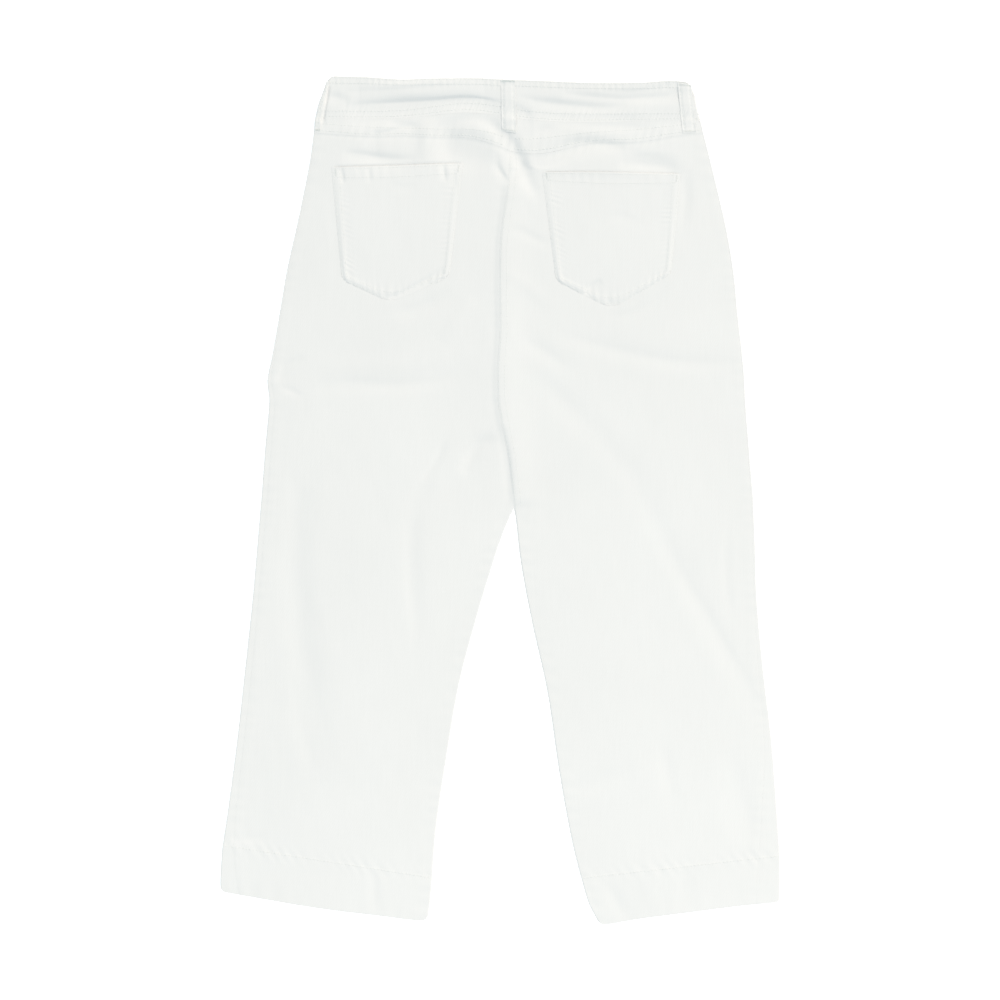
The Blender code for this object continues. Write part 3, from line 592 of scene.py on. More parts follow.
def cloth_height(side, x, down):
    """Top of the yokes and legs in the middle of a panel, as in the solids but for the folds."""
    outer = np.interp(down - SLANT / 2, column(side + "_down"), column(side + "_x"))
    inner = np.interp(down + SLANT / 2, column(side + "_in_down"), column(side + "_in_x"))
    share = np.clip((x - outer) / (inner - outer), 0, 1)
    crown = LEG_CROWN * np.sin(math.pi * share) ** CROWN_FULLNESS
    return np.interp(down, column("left_in_down"), column("height")) + crown


def front_dip(x, down):
    """How far below the back the front lies at this place of the underside."""
    aside = np.minimum(1.0, np.abs(x - CENTRE_X) / HALF_WAIST)
    return FRONT_DIP * np.cos(math.pi / 2 * aside) ** 2 * (1 - ease((down - BAND_DEPTH) / DIP_FADE))


def button_lift(x, down):
    """How far the button holds the underside off the surface."""
    distance = np.hypot(x - CENTRE_X, down - BUTTON_DOWN)
    return LIFT * (1 - ease((distance - LIFT_FLAT) / (LIFT_END - LIFT_FLAT)))


def under_relief(x, down, clear):
    """Shallow hollows of the underside, which touches the floor elsewhere and all along its edges."""
    waves = 0.12 * np.maximum(0, pleats(down + 0.3 * x, 37, 0.8))
    return (np.maximum(0, undulation(x, down, 21, 0.35, 110)) + waves) * ease(clear / 14)


def lowered(x, down, z, back):
    """Points of the back as they are, and those of the front as far down as its waist is cut lower."""
    return np.stack([x, np.where(back, down, down + front_dip(x, down)), z], -1)


def leg_point(side, at, girth):
    """Outside and inside points of a leg. girth runs from 0 to 1 over the back from the inner edge to the
    outer one, to 2 round the outer edge, to 3 along the underside and to 4 up to the inner edge."""
    at, girth = np.broadcast_arrays(np.asarray(at, float), np.asarray(girth, float))
    row = leg_row(side, at)
    quarter = np.clip(girth - 1, 0, 1) * math.pi / 2
    inseam = math.pi / 2 * (1 - row.turn * np.clip(girth - 3, 0, 1))
    full = np.cos(math.pi / 2 * (1 - row.turn))
    lead = (1 - row.turn) * SEAM_LEAD
    back = girth < 1
    regions = [back, (girth >= 1) & (girth < 2), (girth >= 2) & (girth < 3)]
    t = np.select(regions, [
        row.width * (1 - girth),
        EDGE_UNDER * (1 - np.cos(quarter)),
        EDGE_UNDER + (girth - 2) * (row.width - EDGE_UNDER * (1 + full) - lead)],
        row.width - EDGE_UNDER * (full - np.cos(inseam)) - lead * (4 - girth))
    shoulder = mix(SEAT_SHOULDER, EDGE_OVER, row.turn)
    rolled_back = np.maximum(0, 1 - t / EDGE_OVER)
    rolled_back -= np.maximum(0, mix(SEAT_TURN, 1, row.turn) - (row.width - t) / shoulder)
    rolled = np.select(regions, [rolled_back, np.cos(quarter), 0.0], -np.cos(inseam))
    level = np.sqrt(np.maximum(0, 1 - rolled ** 2))
    x, down = on_row(row, t)
    from_seam = t - row.seam
    sewn = 0.08 * strip(from_seam, 0, 8, 4.0) - 0.05 * hump(from_seam, 1.5)
    sewn += 0.15 * hump(from_seam, 9) * pleats(down, 14, 1.2)
    sewn += 0.2 * hump(row.width - t - 5, 7) * pleats(down, 15.5, 0.7) * row.turn
    lifted = button_lift(x, down + front_dip(x, down))
    top = cloth_height(side, x, down) + panel_relief(side, x, down) + sewn
    top = rested(top, LEG_LAYERS * CLOTH + lifted)
    fold_z = EDGE_Z + SEWN_GAP / 2
    back_z = fold_z + (top - fold_z) * level
    edge_z = np.where(girth < 3, fold_z, EDGE_Z - SEWN_GAP / 2)
    under_z = edge_z * (1 - level) + lifted + under_relief(x, down, np.minimum(t, row.width - t))
    wall = row.wall * level
    return (lowered(x, down, np.where(back, back_z, under_z), back),
            lowered(*on_row(row, t + row.wall * rolled), np.where(back, back_z - wall, under_z + wall), back))


def band_ends(share):
    """x and down of the two ends of the waistband, at a share of its depth."""
    at = np.asarray(share, float) * (len(BAND_ROWS) - 1)
    return [np.interp(at, range(len(BAND_ROWS)), values) for values in list(zip(*BAND_ROWS))[1:]]


def band_relief(x, down, share):
    """Creases, waves and gathers on the waistband."""
    from_top = share * BAND_DEPTH
    relief = folds_at(x, down, "band")
    relief += undulation(x, down * 2.2, 31, 0.14, 60)
    relief += 0.12 * strip(from_top, 0.5, 8, 2.0)
    relief += 0.13 * hump(from_top - 5, 4) * pleats(x + 0.3 * from_top, 2.7, 0.2)
    relief += 0.16 * hump(from_top - 5, 5) * pleats(x, 7.4, 0.9)
    relief += 0.06 * strip(from_top, BAND_DEPTH - 10.5, BAND_DEPTH + 2, 2.0)
    relief -= 0.9 * ease((from_top - BAND_DEPTH + 20) / 20)
    relief += 0.13 * hump(from_top - 38, 5) * pleats(x + 0.4 * from_top, 2.9, 1.4)
    relief += 0.14 * hump(from_top - 37, 6) * pleats(x + 0.5 * from_top, 7.1, 1.4)
    beside = x - np.interp(down, [6, 56], [-169.3, -178.6])
    relief -= 1.2 * hump(beside, 1.2) * ease((from_top - 9) / 8)
    return relief + loop_bed(x, down)


def band_point(share, girth):
    """Outside and inside points of the waistband, at a share of its depth. girth runs once round it: to 1
    under the left half from the closing at the front, to 2 round the left side, to 3 over the back, to 4
    round the right side and to 5 back to the closing."""
    share, girth = np.broadcast_arrays(np.asarray(share, float), np.asarray(girth, float))
    left_x, left_down, right_x, right_down = band_ends(share)
    width = np.hypot(right_x - left_x, right_down - left_down)
    join = JOIN_X - left_x
    left_turn = math.pi / 2 * (2 - np.clip(girth, 1, 2))
    right_turn = math.pi / 2 * (np.clip(girth, 3, 4) - 3)
    regions = [girth < 1, girth < 2, girth < 3, girth < 4]
    t = np.select(regions, [
        join - girth * (join - BAND_EDGE_OVER),
        BAND_EDGE_OVER * (1 - np.cos(left_turn)),
        width * (girth - 2),
        width - BAND_EDGE_OVER * (1 - np.cos(right_turn))],
        width - BAND_EDGE_OVER - (girth - 4) * (width - BAND_EDGE_OVER - join - SEAM_GAP))
    over = np.maximum(0, 1 - t / BAND_EDGE_OVER) - np.maximum(0, 1 - (width - t) / BAND_EDGE_OVER)
    rolled = np.select(regions, [0.0, np.cos(left_turn), over, -np.cos(right_turn)], 0.0)
    level = np.sqrt(np.maximum(0, 1 - rolled ** 2))

    def spot(distance):
        return mix(left_x, right_x, distance / width), mix(left_down, right_down, distance / width)

    x, down = spot(t)
    back = (girth >= 2) & (girth < 3)
    lifted = button_lift(x, down + front_dip(x, down))
    top = rested(BAND_HEIGHT + band_relief(x, down, share), BAND_LAYERS * BAND_CLOTH + lifted)
    top_z = BAND_EDGE_Z + (top - BAND_EDGE_Z) * level
    under_z = BAND_EDGE_Z * (1 - level) + lifted
    wall = BAND_CLOTH * level
    return (lowered(x, down, np.where(back, top_z, under_z), back),
            lowered(*spot(t + BAND_CLOTH * rolled), np.where(back, top_z - wall, under_z + wall), back))


def rim(places, start_round, end_round):
    """How much of its thickness the cloth has at each place, rounded off at its two ends. No round means that
    an end keeps all of it."""
    share = np.ones(len(places))
    for gap, size in ((places - places[0], start_round), (places[-1] - places, end_round)):
        if size:
            share = np.minimum(share, np.sqrt(np.maximum(0, 1 - (1 - np.minimum(1, gap / size)) ** 2)))
    return share


def graded(length, coarse, half, spots):
    """Places along a length, close together at its two rims and near some spots."""
    places = [half]
    while places[-1] < length - half:
        away = min(abs(places[-1] - spot) for spot in spots)
        places.append(places[-1] + FINE_STEP + (coarse - FINE_STEP) * float(ease(away / FINE_REACH)))
    inside = half + (np.array(places) - half) * (length - 2 * half) / (places[-1] - half)
    edge = half * RIM_STEPS
    return np.concatenate([edge, inside, (length - edge)[::-1]])


def dragged(points):
    """Points moved by the rounding of the corners and the drags of the cloth."""
    moved = points.copy()
    for corner in CORNERS:
        at = np.array(corner.at, float)
        edges = np.array([corner.one_edge, corner.other_edge], float) - at
        edges /= np.linalg.norm(edges, axis=1, keepdims=True)
        inward = np.clip(1 - (moved[:, :2] - at) @ np.linalg.inv(edges) / corner.radius, None, 1.0)
        near = (inward > 0).all(axis=1)
        square = inward[near]
        disc = square * np.sqrt(1 - square[:, ::-1] ** 2 / 2)
        moved[near, :2] -= (disc - square) @ edges * corner.radius
    for drag in DRAGS:
        near = hump(points[:, 0] - drag.x, drag.across) * hump(points[:, 1] - drag.down, drag.deep)
        moved[:, 1] += drag.shift * near
        moved[:, 0] += drag.aside * near
    return moved


def new_object(name, data):
    """An object in the scene."""
    thing = bpy.data.objects.new(name, data)
    bpy.context.scene.collection.objects.link(thing)
    return thing


def add_piece(name, points, faces, finish):
    """A mesh object from places on the garment, riding on the body."""
    points = dragged(points)
    world = np.stack([points[:, 0], LENGTH / 2 - points[:, 1], points[:, 2]], -1) * MM
    corners = world[faces]
    turned = np.einsum("ij,ij->i", corners[:, 0], np.cross(corners[:, 1], corners[:, 2]))
    turned += np.einsum("ij,ij->i", corners[:, 0], np.cross(corners[:, 2], corners[:, 3]))
    if turned.sum() < 0:
        faces = faces[:, ::-1]
    mesh = bpy.data.meshes.new(name)
    mesh.from_pydata(world.tolist(), [], faces.tolist())
    mesh.materials.append(finish)
    mesh.shade_smooth()
    piece = new_object(name, mesh)
    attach(piece, "root")
    return piece


def quads(grid):
    """Four-sided faces between a grid of point numbers."""
    return np.stack([grid[:-1, :-1], grid[:-1, 1:], grid[1:, 1:], grid[1:, :-1]], -1).reshape(-1, 4)


def cloth(name, outside, inside, free, sewn, finish):
    """A closed wall of cloth between two grids of points, in place of the solid of its name. free and sewn
    hold how much of its thickness its rows and its columns have: a free rim is rounded, and a sewn one is
    thinned from the inside alone."""
    share = (free[0][:, None] * free[1][None, :])[..., None]
    kept = (sewn[0][:, None] * sewn[1][None, :])[..., None]
    middle = (outside + inside) / 2
    outside = middle + (outside - middle) * share
    inside = middle + (inside - middle) * share
    inside = outside + (inside - outside) * kept
    rows, columns = outside.shape[:2]
    over = np.arange(rows * columns).reshape(rows, columns)
    under = over.copy()
    under[1:-1, 1:-1] = rows * columns + np.arange((rows - 2) * (columns - 2)).reshape(rows - 2, columns - 2)
    points = np.concatenate([outside.reshape(-1, 3), inside[1:-1, 1:-1].reshape(-1, 3)])
    faces = np.concatenate([quads(over), quads(under)[:, ::-1]])
    piece = add_piece(name + "_cloth", points, faces, finish)
    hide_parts(name)
    return piece


def patch(name, surface, length, width, step, half, rounded, finish):
    """A patch or strap that is free all round, on a surface that runs from 0 to 1 down it and across it."""
    deep, across = graded(length, step, half, (0, length)), graded(width, step, half, (0, width))
    outside, inside = surface((deep / length)[:, None], (across / width)[None, :])
    free = rim(deep, rounded, rounded), rim(across, rounded, rounded)
    return cloth(name, outside, inside, free, (np.ones(len(deep)), np.ones(len(across))), finish)


def sections_between(side, first, last, lead, spots):
    """Section numbers for the rows of a panel, and their places in mm. lead is what the panel leaves free at
    its two ends."""
    dense = np.linspace(first, last, 4000)
    row = leg_row(side, dense)
    depth = (row.outer_down + row.inner_down) / 2
    depth -= depth[0]
    places = graded(depth[-1] - sum(lead), PANEL_STEP, CLOTH / 2, np.interp(spots, dense, depth) - lead[0])
    return np.interp(places + lead[0], depth, dense)[:, None], places


def back_girth(side, at):
    """girth for the columns of a back panel or yoke, close together near its two sides."""
    reference, margin = 230.0, 20.0
    places = graded(reference, PANEL_STEP, CLOTH / 2, (0, reference))
    row = leg_row(side, at)
    start = row.seam + SEWN_GAP / 2
    middle = start + margin + (places - margin) * (row.width - start - 2 * margin) / (reference - 2 * margin)
    t = np.where(places < margin, start + places,
                 np.where(places > reference - margin, row.width - (reference - places), middle))
    return 1 - t / row.width, rim(places, SEAM_ROUND, SEAM_ROUND)


def front_girth(side, at):
    """girth for the columns of a front, from the side seam round the edge and under the leg."""
    row = leg_row(side, at)
    start = row.seam - SEWN_GAP / 2
    edge = CLOTH / 2 * RIM_STEPS
    wrap = np.sin(np.linspace(0, 1, 15) * math.pi / 2)[:-1]
    t = np.concatenate([start - edge, start - CLOTH / 2 - (start - CLOTH / 2) * wrap], axis=1)
    rest = np.concatenate([1 + np.linspace(0, 1, 7)[:-1], 2 + np.linspace(0, 1, 48)[:-1], 3 + SEAM_STEPS])
    girth = np.concatenate([1 - t / row.width, np.broadcast_to(rest, (len(at), len(rest)))], axis=1)
    places = np.arange(girth.shape[1]) * 10.0
    places[:4] = edge
    places[-8:] = places[-8] + 3.6 * SEAM_STEPS
    return girth, rim(places, SEAM_ROUND, SEAM_ROUND)


def make_leg_panels(finish):
    """The yoke, the back and the front of each leg."""
    back_spots = (YOKE_SEAM, *MOUTHS, HEM_SEAM, HEM_EDGE)
    front_spots = (YOKE_SEAM, HEM_SEAM, HEM_EDGE)
    half = SEWN_GAP / 2
    panels = []
    for side in INWARD:
        for name, first, last, lead, spots, columns in (
                ("yoke_", 0, YOKE_SEAM, (SEWN_GAP, half), (YOKE_SEAM,), back_girth),
                ("back_", YOKE_SEAM, HEM_EDGE, (half, 0), back_spots, back_girth),
                ("front_", 0, HEM_EDGE, (FRONT_GAP, 0), front_spots, front_girth)):
            at, places = sections_between(side, first, last, lead, spots)
            girth, column_rim = columns(side, at)
            hemmed = last == HEM_EDGE
            free = rim(places, 0, HEM_ROUND if hemmed else 0), np.ones(len(column_rim))
            sewn = rim(places, SEAM_ROUND, 0 if hemmed else SEAM_ROUND), column_rim
            panels.append(cloth(name + side, *leg_point(side, at, girth), free, sewn, finish))
    return panels


def make_waistband(finish):
    """One folded strip all round."""
    half = BAND_CLOTH / 2
    depths = graded(BAND_DEPTH, BAND_ROW_STEP, half, (0, BAND_DEPTH))
    around = np.linspace(0, 1, 7)[1:]
    over = graded(BAND_WIDTH, BAND_STEP, half, (0, BAND_WIDTH)) / BAND_WIDTH
    over = over[np.concatenate([[True], np.diff(over) > 0.6 / BAND_WIDTH])]
    girth = np.concatenate([[0.0, 0.001, 0.003, 0.006], np.linspace(0, 1, 50)[1:], 1 + around, 2 + over[1:-1],
                            [3.0], 3 + around, 4 + np.linspace(0, 1, 44)[1:-1], [4.994, 4.997, 4.999, 5.0]])
    free = rim(depths, half, 0), rim(girth * 180, half, half)
    sewn = rim(depths, 0, half), np.ones(len(girth))
    points = band_point((depths / BAND_DEPTH)[:, None], girth[None, :])
    return cloth("waistband", *points, free, sewn, finish)


def rounded_chain(side):
    """The sides and foot of a pocket with soft corners, and where the middles of the two side corners are."""
    corners = pocket_corners(side)
    chain, middles = [corners[0]], []
    for index, cut in ((1, 8.0), (2, 15.0), (3, 9.0)):
        before, corner, after = corners[index - 1:index + 2]
        start = corner + (before - corner) / np.linalg.norm(before - corner) * cut
        end = corner + (after - corner) / np.linalg.norm(after - corner) * cut
        middles.append(len(chain) + 6)
        for step in np.linspace(0, 1, 13):
            chain.append((1 - step) ** 2 * start + 2 * step * (1 - step) * corner + step ** 2 * end)
    chain.append(corners[4])
    return np.array(chain), middles[0], middles[2]


def along_chain(chain, share):
    """Places at shares of a chain's length."""
    reached = np.concatenate([[0], np.cumsum(np.hypot(*np.diff(chain, axis=0).T))])
    return np.stack([np.interp(share * reached[-1], reached, chain[:, axis]) for axis in (0, 1)], -1)


def pocket_point(side, v, u):
    """Outside and inside points of a pocket. v runs down it and u to the right, both from 0 to 1."""
    v, u = np.broadcast_arrays(np.asarray(v, float), np.asarray(u, float))
    chain, left_end, right_end = rounded_chain(side)
    left, foot, right = chain[:left_end + 1], chain[left_end:right_end + 1], chain[right_end:][::-1]
    us, vs = u[..., None], v[..., None]
    spot = ((1 - vs) * along_chain(chain[[0, -1]], u) + vs * along_chain(foot, u)
            + (1 - us) * along_chain(left, v) + us * along_chain(right, v)
            - (1 - us) * (1 - vs) * left[0] - us * (1 - vs) * right[0]
            - (1 - us) * vs * left[-1] - us * vs * right[-1])
    x, down = spot[..., 0], spot[..., 1]
    base = cloth_height(side, x, down) + panel_relief(side, x, down) - pocket_pull(side, x, down)
    base += POCKET_LIFT
    width = math.dist(chain[0], chain[-1])
    from_side = np.minimum(u, 1 - u) * width
    from_foot, from_top = (1 - v) * POCKET_DEPTH, v * POCKET_DEPTH
    from_edge = np.minimum(from_side, from_foot)
    turned = np.maximum(ease(SEAM_STRIP - from_edge + 0.5), ease(POCKET_BAND - from_top + 0.5))
    full = ease((from_edge - 0.3) / 6.5)
    relief = 0.1 * turned * full + 0.4 * np.sin(math.pi * u) * np.sin(math.pi * v)
    relief += folds_at(x, down, "pocket_" + side) - 1.02 * (1 - full)
    phase = 0.5 if side == "left" else 2.2
    puckers = pleats(from_top - 0.2 * u * width, 6.3, phase)
    puckers *= 0.6 + 0.4 * np.sin(from_top / 5.3 + 3 * u + phase)
    relief += 0.2 * hump(from_side - 11, 6) * puckers * ease((from_top - 14) / 20)
    relief += 0.2 * hump(from_foot - 6, 7) * pleats(u * width, 8.2, 1.1)
    relief += 0.12 * hump(from_top - 6, 6) * pleats(u * width, 11, 2.3)
    return np.stack([x, down, base + CLOTH + relief], -1), np.stack([x, down, base], -1)


def make_pockets(finish):
    """The two patches on the seat."""
    return [patch(pocket.name, partial(pocket_point, side), POCKET_DEPTH,
                  math.dist(pocket.left_top, pocket.right_top), POCKET_STEP, CLOTH / 2, POCKET_ROUND, finish)
            for side, pocket in zip(INWARD, POCKETS)]


def loop_point(loop, v, u):
    """Outside and inside points of a belt loop. v runs down it and u to the right, both from 0 to 1."""
    v, u = np.broadcast_arrays(np.asarray(v, float), np.asarray(u, float))
    length = loop.foot_down - loop.head_down
    down = loop.head_down + length * v
    start, end = mix(loop.top_from, loop.foot_from, v), mix(loop.top_to, loop.foot_to, v)
    t = mix(start, end, u)
    low = BAND_ROWS[-1]
    middle = (loop.foot_from + loop.foot_to) / 2
    edge = mix(low.left_down, low.right_down, middle / (low.right_x - low.left_x))
    share = np.clip(down / edge, 0, 1)
    if loop.name == "loop_left":
        left_x, left_down, right_x, right_down = band_ends(share)
        along = t / np.hypot(right_x - left_x, right_down - left_down)
        spread = np.minimum(0.0, np.interp(down, column("left_down"), column("left_x")) - low.left_x)
        x = mix(left_x, right_x, along) + spread * (1 - along)
    else:
        head_x = band_ends(loop.head_down / edge)[0] + mix(loop.top_from, loop.top_to, u)
        x = mix(head_x, low.left_x + mix(loop.foot_from, loop.foot_to, u), v)
    side = "left" if loop.foot_to < HALF_WAIST else "right"
    on_band = BAND_HEIGHT + band_relief(x, down, share) - folds_at(x, down, "band") * 0.5
    follows = mix(0.5, 1, ease((down - edge) / 9))
    on_yoke = cloth_height(side, x, down) + mix(loop_bed(x, down), panel_relief(side, x, down), follows)
    crest = mix(on_band, on_yoke, ease((down - edge - LOOP_OVER_EDGE) / (LOOP_LANDS - LOOP_OVER_EDGE)))
    rolled = np.maximum(0, 1 - t / BAND_EDGE_OVER)
    level = np.sqrt(np.maximum(0, 1 - rolled ** 2))
    z = mix(BAND_EDGE_Z, crest, level)
    from_end = np.minimum(v, 1 - v) * length
    from_side = np.minimum(u, 1 - u) * (end - start)
    bowed = 0.05 + 0.1 * ease(from_end / 9)
    relief = 0.1 * ease((6.5 - from_end) / 2.5) - 0.2 * hump(from_side - LOOP_ROW, 0.9)
    relief -= LOOP_EDGE_DROP[loop.name] * hump(from_side, 2.2) + hump((1 - v) * length, 7)
    relief += 0.12 * pleats(down, 6.5, 0.6) * hump(from_side - 2, 3) - LOOP_DENT * hump(down - 40, 3.5)
    relief = np.maximum(relief, 0.2 - LOOP_CLOTH)

    def away(distance):
        return np.stack([x - distance * rolled, down, z + distance * level], -1)

    return away(bowed + LOOP_CLOTH + relief), away(bowed)


def make_loops(finish):
    """The belt loops, each a strip folded in three."""
    half = LOOP_CLOTH / 2
    return [patch(loop.name, partial(loop_point, loop), loop.foot_down - loop.head_down,
                  loop.foot_to - loop.foot_from, LOOP_STEP, half, half, finish)
            for loop in LOOPS]


def sewn_path(surface, a, b, facing_down=False):
    """Points along a path on a surface, and which way its outside faces there."""
    a, b = np.broadcast_arrays(np.asarray(a, float), np.asarray(b, float))
    step = 0.0008
    points = surface(a, b)[0]
    facing = np.cross(surface(a + step, b)[0] - points, surface(a, b + step)[0] - points)
    facing /= np.maximum(np.linalg.norm(facing, axis=-1, keepdims=True), 1e-12)
    highest = np.argmax(points[:, 2])
    if (facing[highest, 2] < 0) != facing_down:
        facing = -facing
    return points, facing


def sew(name, paths, finish, pitch=STITCH, share=STITCH_SHARE, thread=THREAD):
    """Stitches along paths, each a short plump piece of thread whose ends sink into the cloth."""
    along = np.array([0.0, 0.12, 0.5, 0.88, 1.0])
    swell = thread * np.array([0.4, 0.85, 1.0, 0.85, 0.4])
    lift = thread * np.array([-0.85, 0.15, 0.6, 0.15, -0.85])
    sides = 6
    angles = 2 * math.pi * np.arange(sides) / sides
    round_up, round_aside = [(swell[None, :, None] * turn(angles))[..., None] for turn in (np.sin, np.cos)]
    rings = []
    for points, facing in paths:
        reached = np.concatenate([[0], np.cumsum(np.linalg.norm(np.diff(points, axis=0), axis=1))])
        count = int(reached[-1] / pitch + 0.01)
        if count < 1:
            continue
        spare = (reached[-1] - count * pitch) / 2
        where = spare + (np.arange(count)[:, None] + (1 - share) / 2 + share * along[None, :]) * pitch

        def read(values, shift=0.0):
            return np.stack([np.interp(where + shift, reached, values[:, axis]) for axis in range(3)], -1)

        up = read(facing)
        ahead = read(points, 0.3) - read(points, -0.3)
        ahead /= np.linalg.norm(ahead, axis=-1, keepdims=True)
        aside = np.cross(ahead, up)
        middle = read(points) + up * lift[None, :, None]
        rings.append(middle[:, :, None] + up[:, :, None] * round_up + aside[:, :, None] * round_aside)
    rings = np.concatenate(rings)
    numbers = np.arange(rings.size // 3).reshape(rings.shape[:3])
    after = np.roll(numbers, -1, axis=2)
    tube = np.stack([numbers[:, :-1], after[:, :-1], after[:, 1:], numbers[:, 1:]], -1).reshape(-1, 4)
    start, end = numbers[:, 0], numbers[:, -1]
    caps = [start[:, [3, 2, 1, 0]], start[:, [5, 4, 3, 0]], end[:, [0, 1, 2, 3]], end[:, [0, 3, 4, 5]]]
    add_piece(name, rings.reshape(-1, 3), np.concatenate([tube, *caps]), finish)


def tack(surface, a_from, a_to, b_from, b_to, count, across="b"):
    """A bar tack: close stitches side by side, each laid across the bar and a little slanted."""
    paths = []
    run = np.linspace(0, 1, 6)
    for share in np.linspace(0, 1, count):
        lean = share + np.linspace(0, 0.6 / count, 6)
        a_share, b_share = (lean, run) if across == "b" else (run, lean)
        points, facing = sewn_path(surface, mix(a_from, a_to, a_share), mix(b_from, b_to, b_share))
        paths.append((points + facing * 0.05, facing))
    return paths


def sew_legs(finish):
    """The sewing on the yokes, the seat, the hems and the closing."""
    yoke, hems, seat, fly = [], [], [], []
    for side in INWARD:
        surface = partial(leg_point, side)
        girth = np.linspace(0.022, 0.985, 500)
        outer_gap = getattr(SECTIONS[1], side + "_down") - getattr(SECTIONS[0], side + "_down")
        inner_gap = SECTIONS[1].left_in_down - SECTIONS[0].left_in_down
        for away in (ROW_NEAR, ROW_FAR):
            yoke.append(sewn_path(surface, 1 - away / mix(inner_gap, outer_gap, girth), girth))
        hems.append(sewn_path(surface, HEM_SEAM + 0.6, np.linspace(0.004, 3.9, 1400)))
    at = np.linspace(1.06, 10.9, 900)
    for away in (ROW_NEAR, ROW_FAR):
        seat.append(sewn_path(partial(leg_point, "right"), at, away / leg_row("right", at).width))
    turn = np.linspace(0, math.pi / 2, 60)
    at = np.concatenate([np.linspace(0.3, 4.6, 200), 4.6 + 0.9 * np.sin(turn)[1:]])
    for away in (FLY_WIDTH, FLY_WIDTH - 6):
        inset = np.concatenate([np.full(200, away), (away * np.cos(turn))[1:]])
        girth = 3 - inset / (leg_row("left", at).width - EDGE_UNDER)
        fly.append(sewn_path(partial(leg_point, "left"), at, girth, facing_down=True))
    sew("yoke_stitching", yoke, finish)
    sew("hem_stitching", hems, finish)
    sew("seat_stitching", seat, finish, thread=SEAT_THREAD)
    sew("fly_stitching", fly, finish)


def sew_waistband(finish):
    """Rows along both edges of the waistband, all the way round."""
    paths = []
    for depth in (1.7, 7.4, BAND_DEPTH - 8.4, BAND_DEPTH - 2.6):
        paths.append(sewn_path(band_point, depth / BAND_DEPTH, np.linspace(0.01, 4.98, 2600)))
    sew("waistband_stitching", paths, finish)


def sew_pockets(finish):
    """Two rows round each pocket, two across its top band, and a bar tack at each top corner."""
    rows, tacks = [], []
    for side, pocket in zip(INWARD, POCKETS):
        surface = partial(pocket_point, side)
        width = math.dist(pocket.left_top, pocket.right_top)
        for away in (ROW_NEAR, ROW_FAR):
            side_u, foot_v = away / width, 1 - away / POCKET_DEPTH
            down = np.linspace(0.02, foot_v, 160)
            across = np.linspace(side_u, 1 - side_u, 200)
            v = np.concatenate([down, np.full(198, foot_v), down[::-1]])
            u = np.concatenate([np.full(160, side_u), across[1:-1], np.full(160, 1 - side_u)])
            rows.append(sewn_path(surface, v, u))
        for from_top in (1.8, POCKET_BAND - 1.8):
            rows.append(sewn_path(surface, from_top / POCKET_DEPTH, np.linspace(0.02, 0.98, 200)))
        for u in (0.022, 0.96):
            tacks += tack(surface, 0.012, 0.07, u, u + 0.018, 8)
    sew("pocket_stitching", rows, finish, thread=POCKET_THREAD)
    sew("pocket_tacks", tacks, finish, 2.2, TACK_SHARE, 0.14)


def sew_loops(rows_finish, head_shade_finish):
    """Two rows down each belt loop and a bar tack across both its ends; the head tacks of the left and centre
    loops are in greyed thread, painted shade for the dark caps at their tops.
    """
    rows, heads, feet = [], [], []
    for loop in LOOPS:
        surface = partial(loop_point, loop)
        width = loop.foot_to - loop.foot_from
        for u in (LOOP_ROW / width, 1 - LOOP_ROW / width):
            rows.append(sewn_path(surface, np.linspace(0.06, 0.94, 160), u))
        # The head tacks of the left and centre loops take the greyed thread: painted shade for the dark caps
        # at the waistband's top left corner and at the centre loop's top edge
        if loop.name == "loop_left":
            heads += tack(band_point, 0.03, 0.085, 2.008, 2.026, 12, across="a")
        elif loop.name == "loop_centre":
            heads += tack(surface, 0.004, 0.06, 0.05, 0.95, 16, across="a")
        else:
            feet += tack(surface, 0.01, 0.06, 0.08, 0.92, 14, across="a")
        feet += tack(surface, 0.935, 0.985, 0.08, 0.92, 14, across="a")
    sew("loop_stitching", rows, rows_finish)
    sew("loop_head_tacks", heads, head_shade_finish, 2.8, TACK_SHARE, 0.22)
    sew("loop_foot_tacks", feet, rows_finish, 2.5, TACK_SHARE, 0.15)


def linear(hex_colour):
    """A colour of sRGB hex as linear red, green, blue and full cover."""
    parts = [int(hex_colour[index:index + 2], 16) / 255 for index in (1, 3, 5)]
    return [part / 12.92 if part <= 0.04045 else ((part + 0.055) / 1.055) ** 2.4 for part in parts] + [1.0]


def add_node(tree, kind, settings=None, links=None):
    """A node with its settings, by attribute or by socket, and what its sockets are linked from."""
    node = tree.nodes.new(kind)
    for name, value in (settings or {}).items():
        if isinstance(name, str) and hasattr(node, name):
            setattr(node, name, value)
        else:
            node.inputs[name].default_value = value
    for name, source in (links or {}).items():
        tree.links.new(source, node.inputs[name])
    return node


def new_finish(name):
    """An empty material, its node tree, and the coordinates in metres that its nodes use."""
    finish = bpy.data.materials.new(name)
    finish.use_nodes = True
    tree = finish.node_tree
    tree.nodes.clear()
    place = add_node(tree, "ShaderNodeTexCoord").outputs["Object"]
    return finish, tree, place


def mapped(tree, place, scale, degrees=0, start=(0, 0, 0)):
    """Coordinates for a pattern, scaled and turned."""
    settings = {"Location": start, "Rotation": (0, 0, math.radians(degrees)), "Scale": scale}
    return add_node(tree, "ShaderNodeMapping", settings, {"Vector": place}).outputs["Vector"]


def pattern(tree, kind, place, settings):
    """How strong a noise or wave pattern is."""
    return add_node(tree, "ShaderNodeTex" + kind, settings, {"Vector": place}).outputs["Fac"]


def blended(tree, share, first, second):
    """A colour between two, each given in hex or as another node's output."""
    settings, links = {"data_type": "RGBA"}, {0: share}
    for socket, colour in ((6, first), (7, second)):
        if isinstance(colour, str):
            settings[socket] = linear(colour)
        else:
            links[socket] = colour
    return add_node(tree, "ShaderNodeMix", settings, links).outputs[2]


